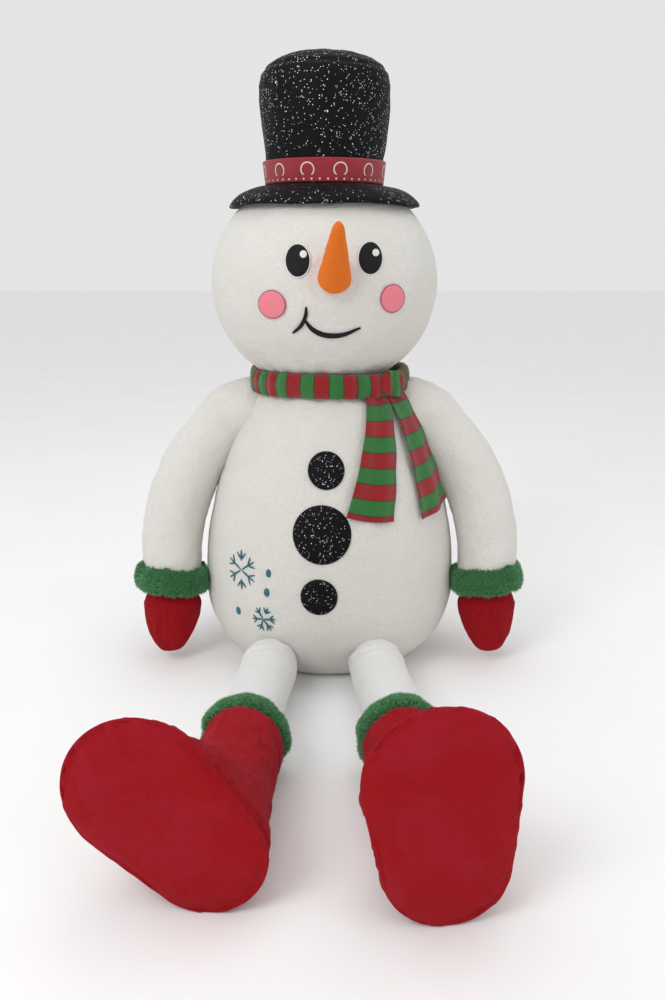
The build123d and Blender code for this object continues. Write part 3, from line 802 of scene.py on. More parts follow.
def tube_on(name, place_on, path, radius, closed=False, lift=0.0, sides=10):
    """A raised line of thread laid along a path of (x, z) points on a turned form."""
    count = len(path)
    obj = ball(name, sides, count + 1) if not closed else ring(name, count, sides)
    obj_points = [place_on(x, z, lift) for x, z in path]

    def frame_at(i):
        before = obj_points[(i - 1) % count] if closed or i > 0 else obj_points[0]
        after = obj_points[(i + 1) % count] if closed or i < count - 1 else obj_points[-1]
        ahead = (after - before).normalized()
        x, z = path[i]
        out = (place_on(x, z, lift + 0.004) - obj_points[i]).normalized()
        return obj_points[i], out, ahead.cross(out).normalized()

    frames = [frame_at(i) for i in range(count)]

    def place(p):
        if closed:
            i = round(atan2(p.y, p.x) / (2 * pi) * count) % count
            middle, out, side = frames[i]
            tube_x = (hypot(p.x, p.y) - 1) / RING_TUBE
            r = radius(i / count)
            return middle + side * (r * tube_x) + out * (r * 0.7 * p.z / RING_TUBE)
        at = round(acos(max(-1, min(1, p.z))) / pi * (count + 1))
        i = min(count - 1, max(0, at - 1))
        middle, out, side = frames[i]
        turn = atan2(p.y, p.x)
        r = 0.0 if at in (0, count + 1) else radius(i / (count - 1))
        return middle + side * (r * cos(turn)) + out * (r * 0.7 * sin(turn))

    return mould(obj, place)


def oval(x, z, half_w, half_h, count=64):
    turns = [2 * pi * i / count for i in range(count)]
    return [(x + half_w * cos(turn), z + half_h * sin(turn)) for turn in turns]


def smooth_run(points, count):
    """A rounded run through a few (x, z) points."""
    vectors = [Vector((x, 0, z)) for x, z in points]
    full = [vectors[0] * 2 - vectors[1]] + vectors + [vectors[-1] * 2 - vectors[-2]]
    made = []
    for i in range(count):
        t = i / (count - 1) * (len(points) - 1)
        k = min(len(points) - 2, int(t))
        t -= k
        a, b, c, d = full[k:k + 4]
        v = (b * 2) + (c - a) * t + (a * 2 - b * 5 + c * 4 - d) * t * t + (b * 3 - a - c * 3 + d) * t ** 3
        v = v / 2
        made.append((v.x, v.z))
    return made


# name, across, height, half width, half height, thickness, lift, material, slot, node
FACE_PADS = (
    ("right_eye_patch", -0.069, 1.036, 0.027, 0.035, 0.0040, 0.0018,
     BLACK_THREAD, "black_embroidery", "right_eye"),
    ("left_eye_patch", 0.092, 1.041, 0.027, 0.035, 0.0040, 0.0018,
     BLACK_THREAD, "black_embroidery", "left_eye"),
    ("right_cheek_patch", -0.129, 0.940, 0.031, 0.031, 0.0030, 0.0016,
     CHEEK_FELT, "pink_felt", "right_cheek"),
    ("left_cheek_patch", 0.145, 0.952, 0.028, 0.031, 0.0030, 0.0016, CHEEK_FELT, "pink_felt", "left_cheek"),
    ("right_glint", -0.056, 1.049, 0.0080, 0.0080, 0.0022, 0.0048,
     WHITE_THREAD, "white_embroidery", "eye_glints"),
    ("left_glint", 0.103, 1.052, 0.0080, 0.0080, 0.0022, 0.0048,
     WHITE_THREAD, "white_embroidery", "eye_glints"),
)
# name, across, height, half width, half height, thread radius, material, slot
FACE_EDGES = (
    ("right_eye_edge", -0.069, 1.036, 0.0275, 0.0355, 0.0014, WHITE_THREAD, "white_embroidery"),
    ("left_eye_edge", 0.092, 1.041, 0.0275, 0.0355, 0.0014, WHITE_THREAD, "white_embroidery"),
    ("right_cheek_edge", -0.129, 0.940, 0.0310, 0.0310, 0.0011, CHEEK_THREAD, "pink_felt"),
    ("left_cheek_edge", 0.145, 0.952, 0.0280, 0.0310, 0.0011, CHEEK_THREAD, "pink_felt"),
)


def make_face():
    """Stuffed patches, a line of thread round each, and a two-stroke mouth."""
    for name, x, z, half_w, half_h, thick, lift, material, slot, node in FACE_PADS:
        pad = pad_on(name, on_head, x, z, half_w, half_h, thick, lift=lift)
        sew(pad, "head", slot, material, node)
    for name, x, z, half_w, half_h, thick, material, slot in FACE_EDGES:
        edge = tube_on(name, on_head, oval(x, z, half_w, half_h), lambda t, r=thick: r, closed=True,
                       lift=0.0026)
        sew(edge, "head", slot, material)
    smile = smooth_run(
        ((-0.056, 0.908), (-0.037, 0.885), (-0.008, 0.872), (0.030, 0.872), (0.072, 0.888)), 60)
    hook = smooth_run(((-0.051, 0.936), (-0.053, 0.915), (-0.064, 0.893), (-0.083, 0.876)), 40)
    main = tube_on("mouth_smile", on_head, smile, lambda t: 0.0022 + 0.0045 * sin(pi * t) ** 0.8, lift=0.0016)
    sew(main, "head", "black_embroidery", BLACK_THREAD, "mouth")
    small = tube_on("mouth_corner", on_head, hook, lambda t: 0.0020 + 0.0028 * sin(pi * t) ** 0.8,
                    lift=0.0022)
    sew(small, "head", "black_embroidery", BLACK_THREAD, "mouth")


# ---------------------------------------------------------------- hat


def make_hat():
    """A stuffed topper: a crown with a soft rounded top, a padded brim that droops at both sides, a band."""
    crown_points = [(0.0, 1.503), (0.05, 1.503), (0.088, 1.500), (0.118, 1.492), (0.140, 1.478),
                    (0.153, 1.459), (0.158, 1.436), (0.158, 1.405), (0.153, 1.345), (0.146, 1.285),
                    (0.140, 1.235), (0.138, 1.206), (0.05, 1.204), (0.0, 1.204)]
    crown = turned("hat_crown_shell", crown_points, 220, 150, HEAD_C)

    def dent(p):
        turn = atan2(p.y, p.x - HEAD_C.x)
        r = hypot(p.x - HEAD_C.x, p.y)
        if r < 0.01:
            return p
        wave = 0.0035 * sin(turn * 3 + 0.8) * soft_step(1.24, 1.34, p.z)
        seam = groove(abs(turn - pi / 2) * r, 0.005, 0.003) + groove(p.z - 1.468, 0.004, 0.0022) * (r > 0.12)
        grow = (r + wave - seam) / r
        return Vector((HEAD_C.x + (p.x - HEAD_C.x) * grow, p.y * grow, p.z))

    mould(crown, dent)
    lump(crown, 0.060, 0.0070)
    sew(crown, "head", "black_glitter_fabric", GLITTER_CLOTH, "hat_crown", "hat_filling", fill=0.85)

    brim = ring("hat_brim_roll", 220, 40)

    def brim_place(p):
        turn = atan2(p.y, p.x)
        out = (hypot(p.x, p.y) - 1) / RING_TUBE
        reach = min(1.0, max(0.0, (out + 1) / 2))
        width, middle = 0.050, 0.1845
        thick = 0.0075 + 0.0085 * soft_step(0.15, 0.80, reach)
        drop = 0.043 * reach ** 1.25 + 0.003 * abs(cos(turn)) ** 3 * reach
        wave = 0.0020 * sin(turn * 5 + 1.0) * reach
        r = middle + width * out
        return Vector((HEAD_C.x + r * cos(turn), r * sin(turn), 1.2075 - drop + wave + thick * p.z / RING_TUBE))

    mould(brim, brim_place)
    lump(brim, 0.045, 0.0040)
    sew(brim, "head", "black_glitter_fabric", GLITTER_CLOTH, "hat_brim", fill=0.7)

    band = ring("hat_band_ribbon", 220, 24)
    middle_z, half_h = 1.2375, 0.0265

    def band_place(p):
        turn, tube = tube_turns(p)
        up, out = sin(tube), cos(tube)
        lift = 0.0016 * (1 if out > 0 else -1) * min(1.0, abs(out) * 2.2)
        z = middle_z + half_h * up
        crown_r = 0.1420 + (z - 1.212) * 0.11 + 0.0020
        crown_r += 0.0012 * sin(turn * 9 + 2 * sin(turn * 2)) * (1 - abs(up))
        return Vector((HEAD_C.x + (crown_r + lift) * cos(turn), (crown_r + lift) * sin(turn), z))

    mould(band, band_place)
    flat_map(band, HEAD_C.x, 2 * pi * 0.145, lambda p: p.z - (middle_z - half_h), True)
    sew(band, "head", "hat_band_ribbon", BAND_RIBBON, "hat_band")


def flat_map(obj, middle_x, length, across, turn_first):
    """A map in metres round a ring: length is the way round it, and across(point) the way over the cloth."""
    mesh = obj.data
    layer = mesh.uv_layers[0]
    for face in mesh.polygons:
        spots = [mesh.vertices[mesh.loops[i].vertex_index].co for i in face.loop_indices]
        shares = [(atan2(p.y, p.x - middle_x) + pi) / (2 * pi) for p in spots]
        high = max(shares)
        for i, p, share in zip(face.loop_indices, spots, shares):
            if high - share > 0.5:
                share += 1
            layer.data[i].uv = (share * length, across(p)) if turn_first else (across(p), share * length)


# ---------------------------------------------------------------- arms


def arm_middle(t):
    """The arm's middle line: out of the yoke, round the shoulder's bend and down to the wrist."""
    yoke, bend_share = 0.26, 0.70
    bend_r, centre_x, centre_z = 0.485, -0.068, 0.279
    root, shoulder = Vector((0.130, 0, 0.655)), Vector((0.275, 0, 0.622))
    if t < yoke:
        return bezier(root, Vector((0.190, 0, 0.660)), Vector((0.242, 0, 0.653)), shoulder, t / yoke)
    if t < yoke + bend_share * (1 - yoke):
        angle = radians(45) * (1 - (t - yoke) / (bend_share * (1 - yoke)))
        return Vector((centre_x + bend_r * cos(angle), 0, centre_z + bend_r * sin(angle)))
    rest = (t - yoke - bend_share * (1 - yoke)) / ((1 - bend_share) * (1 - yoke))
    return Vector((WRIST.x, 0, centre_z - (centre_z - 0.190) * rest))


def lean(p):
    """Tilts a hanging arm forwards about the shoulder line."""
    rise = p.z - SHOULDER.z
    return Vector((p.x, p.y * cos(ARM_FORWARD) + rise * sin(ARM_FORWARD),
                   SHOULDER.z - p.y * sin(ARM_FORWARD) + rise * cos(ARM_FORWARD)))


def make_arm(side_name):
    side = SIDE[side_name]
    arm = ball(f"{side_name}_arm_plush", 120, 140)

    def place(p):
        share, turn = down_and_round(p)
        here = arm_middle(share)
        ahead = (arm_middle(min(1, share + 0.01)) - arm_middle(max(0, share - 0.01))).normalized()
        up = Vector((0, 1, 0)).cross(ahead).normalized()
        radius = 0.0800 + 0.006 * (1 - soft_step(0.10, 0.34, share)) - 0.004 * soft_step(0.60, 0.95, share)
        radius *= round_cap(share, 0.12, 0.97)
        out = up * cos(turn)
        inner_turn = turn - pi if turn > 0 else turn + pi
        fold = groove(inner_turn, 0.60, 0.007) * groove(share - 0.33, 0.07, 1.0)
        point = here + out * (radius - fold) + Vector((0, 1, 0)) * (radius * sin(turn))
        point = lean(point) if share > 0.26 else point.lerp(lean(point), soft_step(0.10, 0.26, share))
        return Vector((point.x * side, point.y, point.z))

    mould(arm, place)
    lump(arm, 0.055, 0.0065)
    lump(arm, 0.013, 0.0020)
    finish_mesh(arm)
    arm.data.materials.clear()
    arm.data.materials.append(WHITE_PLUSH)
    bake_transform(arm)
    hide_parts(f"{side_name}_arm_skin", f"{side_name}_arm_filling")


def make_mitten(side_name):
    side = SIDE[side_name]
    mitten = ball(f"{side_name}_mitten", 110, 100)
    top_z, tip_z = 0.200, 0.018

    def place(p):
        share, turn = down_and_round(p)
        z = top_z - (top_z - tip_z) * (1 - cos(share * pi)) / 2
        down = (top_z - z) / (top_z - tip_z)
        profile = min(1.0, sin(share * pi) ** 0.58 * 1.05) * (1 - 0.36 * soft_step(0.30, 1.0, down))
        width, depth = 0.0745 * profile, 0.0590 * profile
        seam = groove(abs(abs(turn) - pi / 2), 0.07, 0.0020) * sin(share * pi)
        gather = 0.0016 * sin(turn * 17 + 2 * sin(turn * 3)) * exp(-down / 0.25)
        x = WRIST.x - 0.002 + 0.008 * down + (width - seam + gather) * cos(turn)
        point = lean(Vector((x, (depth - seam + gather) * sin(turn), z)))
        return Vector((point.x * side, point.y, point.z))

    mould(mitten, place)
    stuff(mitten, 0.0045, lambda p: 1.0 if p.z > 0.165 else 0.0, 0.005)
    lump(mitten, 0.035, 0.0040)
    sew(mitten, f"{side_name}_arm", "red_mitten_plush", MITTEN_PLUSH, f"{side_name}_mitten_skin",
        f"{side_name}_mitten_filling", fill=0.85)


# ---------------------------------------------------------------- fur


def fur_ring(name, middle, along_axis, across_axis, base_r, tube_out, tube_half, tufts, seed, body, node):
    """A fur cuff: a soft ring and a coat of small curved tufts, each a few faces."""
    rnd = Random(seed)
    third = along_axis.cross(across_axis).normalized()
    base = ring(name, 96, 20)

    def surface(turn, tube, out=0.0):
        swell = tube_out * cos(tube)
        wave = 0.0025 * sin(turn * 5 + seed) + 0.0018 * sin(turn * 11 + seed * 2)
        radial = across_axis * cos(turn) + third * sin(turn)
        normal = (radial * (cos(tube) / tube_out) + along_axis * (sin(tube) / tube_half)).normalized()
        point = middle + radial * (base_r + swell + wave) + along_axis * (tube_half * sin(tube) + wave)
        return point + normal * out, normal, radial

    def place(p):
        turn, tube = tube_turns(p)
        return surface(turn, tube)[0]

    mould(base, place)
    # Painted shade: the ring under the tufts is coloured mostly with the dark root green.
    shade = base.data.attributes.new("tip", "FLOAT", "POINT")
    for item in shade.data:
        item.value = 0.25

    points, faces, tips = [], [], []
    for _ in range(tufts):
        turn = rnd.uniform(-pi, pi)
        tube = rnd.gauss(0.0, 0.85)
        if abs(tube) > 2.0:
            continue
        foot, normal, radial = surface(turn, tube, -0.001)
        any_way = Vector((rnd.uniform(-1, 1), rnd.uniform(-1, 1), rnd.uniform(-1, 1)))
        tangent = normal.cross(any_way).normalized()
        side_way = normal.cross(tangent).normalized()
        lean_way = (tangent * rnd.uniform(0.2, 0.8) + Vector((0, 0, -0.25))).normalized()
        reach = TUFT_LENGTH * rnd.uniform(0.55, 1.1)
        wide = rnd.uniform(0.0009, 0.0016)
        start = len(points)
        for k, (rise, bend, narrow) in enumerate(((0.0, 0.0, 1.0), (0.55, 0.15, 0.75), (1.0, 0.50, 0.0))):
            middle_point = foot + normal * (reach * rise) + lean_way * (reach * bend)
            if narrow:
                for corner in range(3):
                    a = 2 * pi * corner / 3
                    points.append(middle_point + (tangent * cos(a) + side_way * sin(a)) * (wide * narrow))
                    tips.append(rise)
            else:
                points.append(middle_point)
                tips.append(1.0)
        faces += [(start + 2, start + 1, start)]
        for corner in range(3):
            other = (corner + 1) % 3
            faces += [(start + corner, start + other, start + 3 + other, start + 3 + corner)]
            faces += [(start + 3 + corner, start + 3 + other, start + 6)]
    mesh = bpy.data.meshes.new(name + "_pile")
    mesh.from_pydata(points, [], faces)
    coat = bpy.data.objects.new(name + "_pile", mesh)
    bpy.context.collection.objects.link(coat)
    shade = mesh.attributes.new("tip", "FLOAT", "POINT")
    for item, value in zip(shade.data, tips):
        item.value = value
    sew(base, body, "green_fur", GREEN_FUR, node, fill=0.6)
    sew(coat, body, "green_fur", GREEN_FUR, node)


def make_arm_cuff(side_name):
    side = SIDE[side_name]
    middle = lean(Vector((WRIST.x - 0.002, 0, 0.212)))
    middle = Vector((middle.x * side, middle.y, middle.z))
    axis = Vector((-0.09 * side, sin(ARM_FORWARD) * 0.6, cos(ARM_FORWARD))).normalized()
    across = Vector((0, 1, 0)).cross(axis).normalized()
    fur_ring(f"{side_name}_wrist_fur", middle, axis, across, 0.078, 0.0125, 0.029, 11000, 11 + side,
             f"{side_name}_arm", f"{side_name}_arm_cuff")


# ---------------------------------------------------------------- legs and boots


def leg_axes(side_name, roll=0.0):
    """The hip, and unit vectors along the leg, across it and up it, rolled about the leg."""
    hip = HIP[side_name]
    ahead = (HEEL[side_name] - hip).normalized()
    up = (Vector((0, 0, 1)) - ahead * ahead.z).normalized()
    across = up.cross(ahead)
    rolled = across * cos(roll) + up * sin(roll)
    return hip, ahead, rolled, ahead.cross(rolled)


def make_leg(side_name):
    hip, ahead, across, up = leg_axes(side_name)
    leg = ball(f"{side_name}_leg_plush", 110, 120)

    def place(p):
        share, turn = down_and_round(p)
        reach = -0.058 + 0.470 * share
        radius = 0.0665 * round_cap(share, 0.14, 0.96)
        fold = 0.0030 * sin(reach * 150 + 3.4 * sin(turn * 2 + 1)) * (1 - soft_step(0.02, 0.15, reach))
        fold *= 0.5 + 0.5 * sin(turn * 3 + reach * 30)
        fold *= soft_step(-0.05, 0.0, reach)
        seam = groove(abs(turn + pi / 2) * 0.067, 0.004, 0.0020)
        radius += fold - seam
        return hip + ahead * reach + across * (radius * cos(turn)) + up * (radius * sin(turn))

    mould(leg, place)
    lump(leg, 0.060, 0.0050)
    sew(leg, f"{side_name}_leg", "white_plush", LEG_PLUSH, f"{side_name}_leg_skin",
        f"{side_name}_leg_filling")


def sole_outline(grow, count):
    """The sole's outline in its own plane: a hull round the heel's circle and the toe's larger one."""
    lean_back = asin((TOE_R - HEEL_R) / TOE_RISE)
    points = []
    steps = 48
    for i in range(steps + 1):
        a = -lean_back + (pi + 2 * lean_back) * i / steps
        points.append(((TOE_R + grow) * cos(a), TOE_RISE + (TOE_R + grow) * sin(a)))
    for i in range(steps + 1):
        a = pi + lean_back + (pi - 2 * lean_back) * i / steps
        points.append(((HEEL_R + grow) * cos(a), (HEEL_R + grow) * sin(a)))
    points.append(points[0])
    return [along(points, i / count) for i in range(count)]


FOOT_MIDDLE = (0.0, 0.086)


def make_boot(side_name, seed):
    hip, ahead, across, up = leg_axes(side_name, BOOT_ROLL[side_name])
    seam_at = (HEEL[side_name] - hip).length - SOLE_T
    count = 160
    edge = sole_outline(0.0, count)

    foot = ball("foot_form", count, 60)

    def place_foot(p):
        share = acos(max(-1, min(1, p.z))) / pi
        i = round(atan2(p.y, p.x) / (2 * pi) * count) % count
        x, y = edge[i]
        back = min(1.0, (1 - share) / 0.62) if share < 1 else 0.0
        keep = 1.0 - 0.30 * back ** 1.4
        toe_drop = 0.118 * back ** 1.25 * soft_step(-0.06, 0.20, y)
        x, y = x * keep, y * keep - toe_drop
        if share < 0.38:
            shut = sin(share / 0.38 * pi / 2)
            x, y = x * shut, 0.020 + (y - 0.020) * shut
        if share > 0.97:
            shut = max(0.0, (1 - share) / 0.03)
            x, y = x * shut, FOOT_MIDDLE[1] + (y - FOOT_MIDDLE[1]) * shut
        return hip + ahead * (seam_at + 0.006 - 0.142 * back) + across * x + up * y

    mould(foot, place_foot)
    shaft = ball("shaft_form", 64, 40)

    def place_shaft(p):
        share, turn = down_and_round(p)
        reach = 0.388 + (seam_at - 0.050 - 0.388) * share
        radius = 0.083 + 0.010 * soft_step(0.5, 1.0, share)
        if share < 0.03 or share > 0.97:
            radius *= sqrt(max(0.0, 1 - (1 - min(share, 1 - share) / 0.03) ** 2))
        return hip + ahead * reach + across * (radius * cos(turn)) + up * (radius * sin(turn))

    mould(shaft, place_shaft)
    boot = fuse(f"{side_name}_boot_upper_plush", [foot, shaft], 0.0042, 8)

    def at_seam(p):
        reach = (p - hip).dot(ahead)
        return 1.0 if reach > seam_at - 0.010 or reach < 0.410 else 0.0

    def sculpt(p):
        local = p - hip
        reach, x, y = local.dot(ahead), local.dot(across), local.dot(up)
        out = across * (x - FOOT_MIDDLE[0]) + up * (y - FOOT_MIDDLE[1])
        if out.length < 0.02:
            return p
        out = out.normalized()
        gap = seam_at - reach
        turn = atan2(y - FOOT_MIDDLE[1], x - FOOT_MIDDLE[0])
        pucker = sin(turn * 46 + 3 * sin(turn * 5 + seed)) * 0.0036
        pucker *= exp(-(max(0.0, gap - 0.003) / 0.020) ** 1.5)
        pucker *= 0.4 + 0.6 * sin(turn * 2 + seed) ** 2
        long_fold = sin(turn * 7 + seed * 2 + reach * 22) * 0.0032 * exp(-((gap - 0.06) / 0.04) ** 2)
        line = groove(gap - 0.080 - 0.020 * sin(turn * 2 + 1), 0.005, 0.0028) * soft_step(0.0, 0.05, y)
        return p + out * (pucker + long_fold - line - groove(gap, 0.006, 0.0035))

    mould(boot, sculpt)
    stuff(boot, 0.0050, at_seam, 0.006)
    lump(boot, 0.070, 0.0110)
    lump(boot, 0.022, 0.0026)
    sew(boot, f"{side_name}_boot", "red_boot_plush", BOOT_PLUSH, f"{side_name}_boot_upper",
        f"{side_name}_boot_filling", fill=0.85)

    sole_edge = sole_outline(-0.0005, count)
    sole = ball(f"{side_name}_boot_sole_panel", count, 64)

    def place_sole(p):
        share = acos(max(-1, min(1, p.z))) / pi
        i = round(atan2(p.y, p.x) / (2 * pi) * count) % count
        x, y = sole_edge[i]
        spread = sin(share * pi)
        spread = sin(spread * pi / 2)
        turn = 2 * pi * i / count
        front = 0.0155 * (1 - spread ** 5) ** 0.6 if share > 0.5 else -0.012 * (1 - spread ** 5) ** 0.6
        wrinkle = sin(i * 0.9 + 2.5 * sin(turn * 3 + seed)) * 0.0048 * exp(-((1 - spread) / 0.055))
        wrinkle *= 0.25 + 0.75 * soft_step(-0.2, 0.9, sin(turn + pi * 0.15 * seed))
        sink = 0.0040 * groove((1 - spread) - 0.06, 0.03, 1.0) * (0.5 + 0.5 * sin(turn * 4 + seed))
        reach = seam_at + front + (wrinkle - sink if share > 0.5 else 0)
        keep = spread * (1.004 + 0.004 * sin(turn * 9 + seed))
        px = FOOT_MIDDLE[0] + (x - FOOT_MIDDLE[0]) * keep
        py = FOOT_MIDDLE[1] + (y - FOOT_MIDDLE[1]) * keep
        return hip + ahead * reach + across * px + up * py

    mould(sole, place_sole)
    lump(sole, 0.070, 0.0120)
    lump(sole, 0.020, 0.0028)
    sew(sole, f"{side_name}_boot", "red_boot_plush", BOOT_PLUSH, f"{side_name}_boot_sole", fill=0.8)

    piping = ring(f"{side_name}_sole_seam", count, 10)

    def place_piping(p):
        i = round(atan2(p.y, p.x) / (2 * pi) * count) % count
        x, y = edge[i]
        tube_x = (hypot(p.x, p.y) - 1) / RING_TUBE
        away = Vector((x - FOOT_MIDDLE[0], y - FOOT_MIDDLE[1])).normalized()
        out = 0.0030 * tube_x - 0.0012
        reach = seam_at + 0.0024 * p.z / RING_TUBE + 0.0005 * sin(i * 0.9)
        return hip + ahead * reach + across * (x + away.x * out) + up * (y + away.y * out)

    mould(piping, place_piping)
    sew(piping, f"{side_name}_boot", "red_boot_plush", BOOT_PLUSH, f"{side_name}_boot_sole")

    hip, ahead, across, up = leg_axes(side_name)
    fur_ring(f"{side_name}_boot_fur", hip + ahead * 0.3665, ahead, across, 0.0735, 0.0120, 0.024, 10000,
             31 + seed, f"{side_name}_boot", f"{side_name}_boot_cuff")


# ---------------------------------------------------------------- buttons and snowflakes


def round_to(azimuth):
    """Where (across, height) lands on the torso when it is looked at from an azimuth."""
    turn = Matrix.Rotation(radians(azimuth), 3, "Z")
    return lambda x, z, out=0.0: turn @ on_torso(x, z, out)


def make_buttons():
    for name, x, z, r in (("button_top", -0.007, 0.553, 0.042), ("button_middle", -0.017, 0.406, 0.068),
                          ("button_bottom", -0.024, 0.257, 0.043)):
        pad = pad_on(f"{name}_pad", round_to(0), x, z, r, r, 0.0065, 96, 40, lift=0.0030)
        lump(pad, 0.03, 0.0015)
        sew(pad, "torso", "black_glitter_fabric", BUTTON_CLOTH, name, fill=0.7)
        rim = tube_on(f"{name}_rim", round_to(0), oval(x, z, r - 0.0005, r - 0.0005, 96), lambda t: 0.0019,
                      closed=True, lift=0.0030)
        sew(rim, "torso", "black_glitter_fabric", BLACK_THREAD, name)


def stroke(name, place_on, points, radius, node):
    """One run of stitches: it is full in the middle and narrow at its ends."""
    made = tube_on(name, place_on, smooth_run(points, 14), lambda t: radius * (0.45 + 0.55 * sin(pi * t)),
                   lift=0.0022, sides=8)
    sew(made, "torso", "teal_embroidery", TEAL_THREAD, node)


def make_snowflake(node, azimuth, x, z, reach, turn_by, gaps):
    """Six stitched arms with forked ends; those in gaps stop short of the middle."""
    place_on = round_to(azimuth)
    for arm in range(6):
        a = radians(60 * arm + turn_by)
        ahead, side = (cos(a), sin(a)), (-sin(a), cos(a))

        def spot(out, across=0.0):
            return (x + ahead[0] * out * reach + side[0] * across * reach,
                    z + ahead[1] * out * reach + side[1] * across * reach)

        if arm in gaps:
            stroke(f"{node}_tip_{arm}", place_on, (spot(0.46), spot(0.72), spot(0.98)), 0.0026, node)
        else:
            stroke(f"{node}_arm_{arm}", place_on, (spot(0.05), spot(0.50), spot(0.98)), 0.0026, node)
        for hand, label in ((1, "a"), (-1, "b")):
            stroke(f"{node}_fork_{arm}_{label}", place_on, (spot(0.52, 0.01 * hand), spot(0.68, 0.14 * hand),
                                                            spot(0.86, 0.30 * hand)), 0.0022, node)


def make_snow():
    make_snowflake("snowflake_large", -38, -0.019, 0.296, 0.050, 35, (1, 4))
    make_snowflake("snowflake_small", -28, -0.005, 0.184, 0.034, 8, (1,))
    place_on = round_to(-30)
    for i, (x, z) in enumerate(((0.020, 0.304), (0.016, 0.255), (-0.074, 0.187))):
        dot = pad_on(f"snow_dot_{i + 1}", place_on, x, z, 0.0075, 0.0105, 0.0024, 32, 16, lift=0.0016)
        sew(dot, "torso", "teal_embroidery", TEAL_THREAD, "snow_dots")


# ---------------------------------------------------------------- scarf


def make_collar():
    collar = ring("scarf_collar_wrap", 432, 28)
    stripes, ring_r = 36, 0.192

    def place(p):
        turn, tube = tube_turns(p)
        up, out = sin(tube), cos(tube)
        gather = 0.0042 * sin(turn * 27 + 3 * sin(turn * 5)) * (0.35 + 0.65 * abs(up))
        r = ring_r + 0.0145 * (abs(out) ** 0.8) * (1 if out > 0 else -1) + gather * (1 if out > 0 else 0.3)
        z = 0.7400 + 0.0295 * up + 0.0025 * sin(turn * 3 + 0.6)
        return Vector((r * cos(turn), r * sin(turn), z))

    mould(collar, place)
    flat_map(collar, 0, stripes * 0.034, lambda p: p.z, False)
    return sew(collar, "torso", "striped_scarf", COLLAR_CLOTH, "scarf_collar", fill=0.7)


def make_tail(name, azimuth, left, right, body, lift, seed):
    """A hung scarf end: a doubled strip that follows the torso, with soft lengthwise folds."""
    place_on = round_to(azimuth)
    rows, columns = 90, 34
    points, faces, spots = [], [], []
    for i in range(rows + 1):
        t = i / rows
        a = Vector(left[0]).lerp(Vector(left[1]), t)
        b = Vector(right[0]).lerp(Vector(right[1]), t)
        for j in range(columns + 1):
            s = j / columns
            x, z = a.lerp(b, s)
            z -= 0.005 * sin(pi * s) * t
            fold = 0.0045 * sin(s * pi * 3.2 + seed + 0.9 * t) * (0.35 + 0.65 * t)
            ripple = 0.0016 * sin(t * 21 + s * 4 + seed)
            points.append(place_on(x, z, lift + fold + ripple))
            spots.append((s * 0.110, t * 0.310))
    wide = columns + 1
    for i in range(rows):
        for j in range(columns):
            faces.append((i * wide + j, i * wide + j + 1, (i + 1) * wide + j + 1, (i + 1) * wide + j))
    mesh = bpy.data.meshes.new(name)
    mesh.from_pydata(points, [], faces)
    layer = mesh.uv_layers.new(name="map")
    for loop in mesh.loops:
        layer.data[loop.index].uv = spots[loop.vertex_index]
    tail = bpy.data.objects.new(name, mesh)
    bpy.context.collection.objects.link(tail)
    modify(tail, "SOLIDIFY", thickness=0.0034, offset=0.0, use_even_offset=True)
    modify(tail, "SMOOTH", factor=0.4, iterations=2)
    finish_mesh(tail)
    tail.data.materials.append(SCARF_CLOTH)
    top, bend = place_on(0, 0.722), place_on(0, 0.640)
    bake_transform(tail)
    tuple(top)
    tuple(bend)
    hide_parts(body)
    return tail


def make_scarf():
    make_collar()
    make_tail("scarf_tail_under_cloth", 40, ((-0.034, 0.722), (-0.163, 0.446)),
              ((0.034, 0.722), (-0.054, 0.426)), "scarf_tail_under", 0.0115, 0.4)
    make_tail("scarf_tail_over_cloth", 58, ((-0.036, 0.722), (-0.066, 0.416)),
              ((0.036, 0.722), (0.064, 0.438)), "scarf_tail_over", 0.0145, 2.1)
    knot = ball("scarf_knot_wrap", 120, 64)
    turn = Matrix.Rotation(radians(49), 3, "Z")
    tilt = radians(-16)

    def place(p):
        flat = hypot(p.x, p.y)
        around = atan2(p.y, p.x)
        square = 1 / max(abs(cos(around)), abs(sin(around))) ** 0.62
        spread = sin(pi / 2 * min(1.0, flat)) * square
        x, z = 0.040 * spread * cos(around), 0.0305 * spread * sin(around)
        x, z = x * cos(tilt) - z * sin(tilt), x * sin(tilt) + z * cos(tilt)
        fold = 0.0022 * sin(x * 210 + 1.0) * (1 - flat ** 4)
        thick = (0.0085 if p.z > 0 else 0.0120) * (1 - flat ** 4)
        bulge = 0.211 - 4.2 * max(0.0, abs(x) - 0.004) ** 2
        return turn @ Vector((x, -bulge - (thick + fold) * (1 if p.z > 0 else -1), 0.7420 + z))

    mould(knot, place)
    lump(knot, 0.030, 0.0030)
    mesh = knot.data
    layer = mesh.uv_layers[0]
    for loop in mesh.loops:
        co = mesh.vertices[loop.vertex_index].co
        local = turn.inverted() @ co
        layer.data[loop.index].uv = (local.z, local.x + 0.30 * local.z + 0.055)
    sew(knot, "torso", "striped_scarf", SCARF_CLOTH, "scarf_knot", fill=0.7)


# ---------------------------------------------------------------- make everything

make_torso()
make_head()
make_nose()
make_face()
make_hat()
for name, seed in (("left", 1), ("right", 2)):
    make_arm(name)
    make_mitten(name)
    make_arm_cuff(name)
    make_leg(name)
    make_boot(name, seed)
make_buttons()
make_snow()
make_scarf()

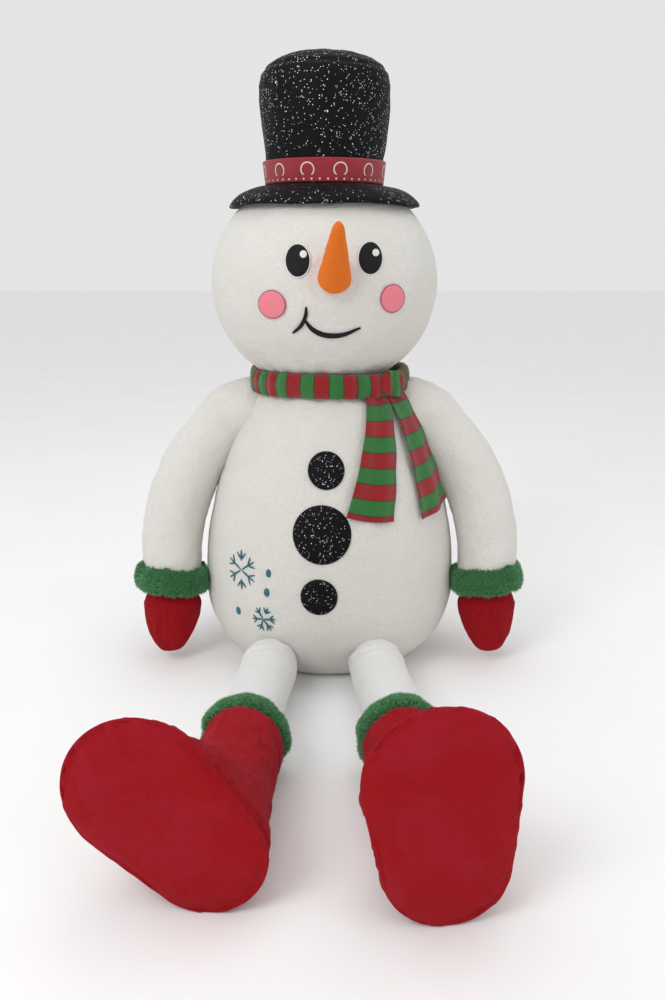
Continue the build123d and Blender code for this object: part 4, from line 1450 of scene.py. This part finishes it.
CAD_LOOKS = {
    "base_panel": BASE_CLOTH, "torso_bladder": VINYL, "valve_body": VINYL, "valve_cap": VINYL,
    "zip_tape_left": TAPE_CLOTH, "zip_tape_right": TAPE_CLOTH, "zip_coil": COIL_NYLON, "zip_stops": ZIP_METAL,
    "zip_slider": ZIP_METAL, "zip_pull": ZIP_METAL,
}
for node, look in CAD_LOOKS.items():
    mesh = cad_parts[node].data
    mesh.materials.clear()
    mesh.materials.append(look)

# ---------------------------------------------------------------- floor, light and camera


def light(name, where, size, power):
    """A soft box light aimed at the snowman's middle."""
    bpy.ops.object.light_add(type="AREA", location=where)
    lamp = bpy.context.object
    lamp.name = name
    lamp.data.size = size
    lamp.data.energy = power
    aim = Vector((0, -0.2, 0.6)) - Vector(where)
    lamp.rotation_euler = aim.to_track_quat("-Z", "Y").to_euler()


bpy.ops.object.select_all(action="DESELECT")
bpy.ops.mesh.primitive_plane_add(size=40, location=(0, 0, 0))
floor = bpy.context.object
floor.name = "floor"
floor_look = Look("floor")
floor_noise = floor_look.node("ShaderNodeTexNoise", Vector=floor_look.coords(), Scale=3.0)
floor.data.materials.append(floor_look.finish(
    Base_Color=floor_look.blend(floor_noise.outputs["Fac"], paint(244, 244, 244), paint(250, 250, 250)),
    Roughness=0.9))

light("key_light", (-2.0, -3.0, 3.2), 1.8, 52)
light("fill_light", (3.0, -2.4, 1.6), 2.4, 8)
light("top_light", (0.2, 0.2, 3.8), 2.6, 20)

world = bpy.data.worlds.new("studio")
bpy.context.scene.world = world
world.use_nodes = True
world.node_tree.nodes["Background"].inputs["Color"].default_value = (1, 1, 1, 1)
world.node_tree.nodes["Background"].inputs["Strength"].default_value = ROOM_LIGHT

bpy.ops.object.camera_add(location=CAMERA_AT, rotation=(CAMERA_TILT, 0, 0))
camera = bpy.context.object
camera.name = "front_camera"
camera.data.sensor_fit = "VERTICAL"
camera.data.sensor_height = 36
camera.data.lens = CAMERA_LENS
bpy.context.scene.camera = camera
bpy.context.scene.view_settings.view_transform = "Standard"
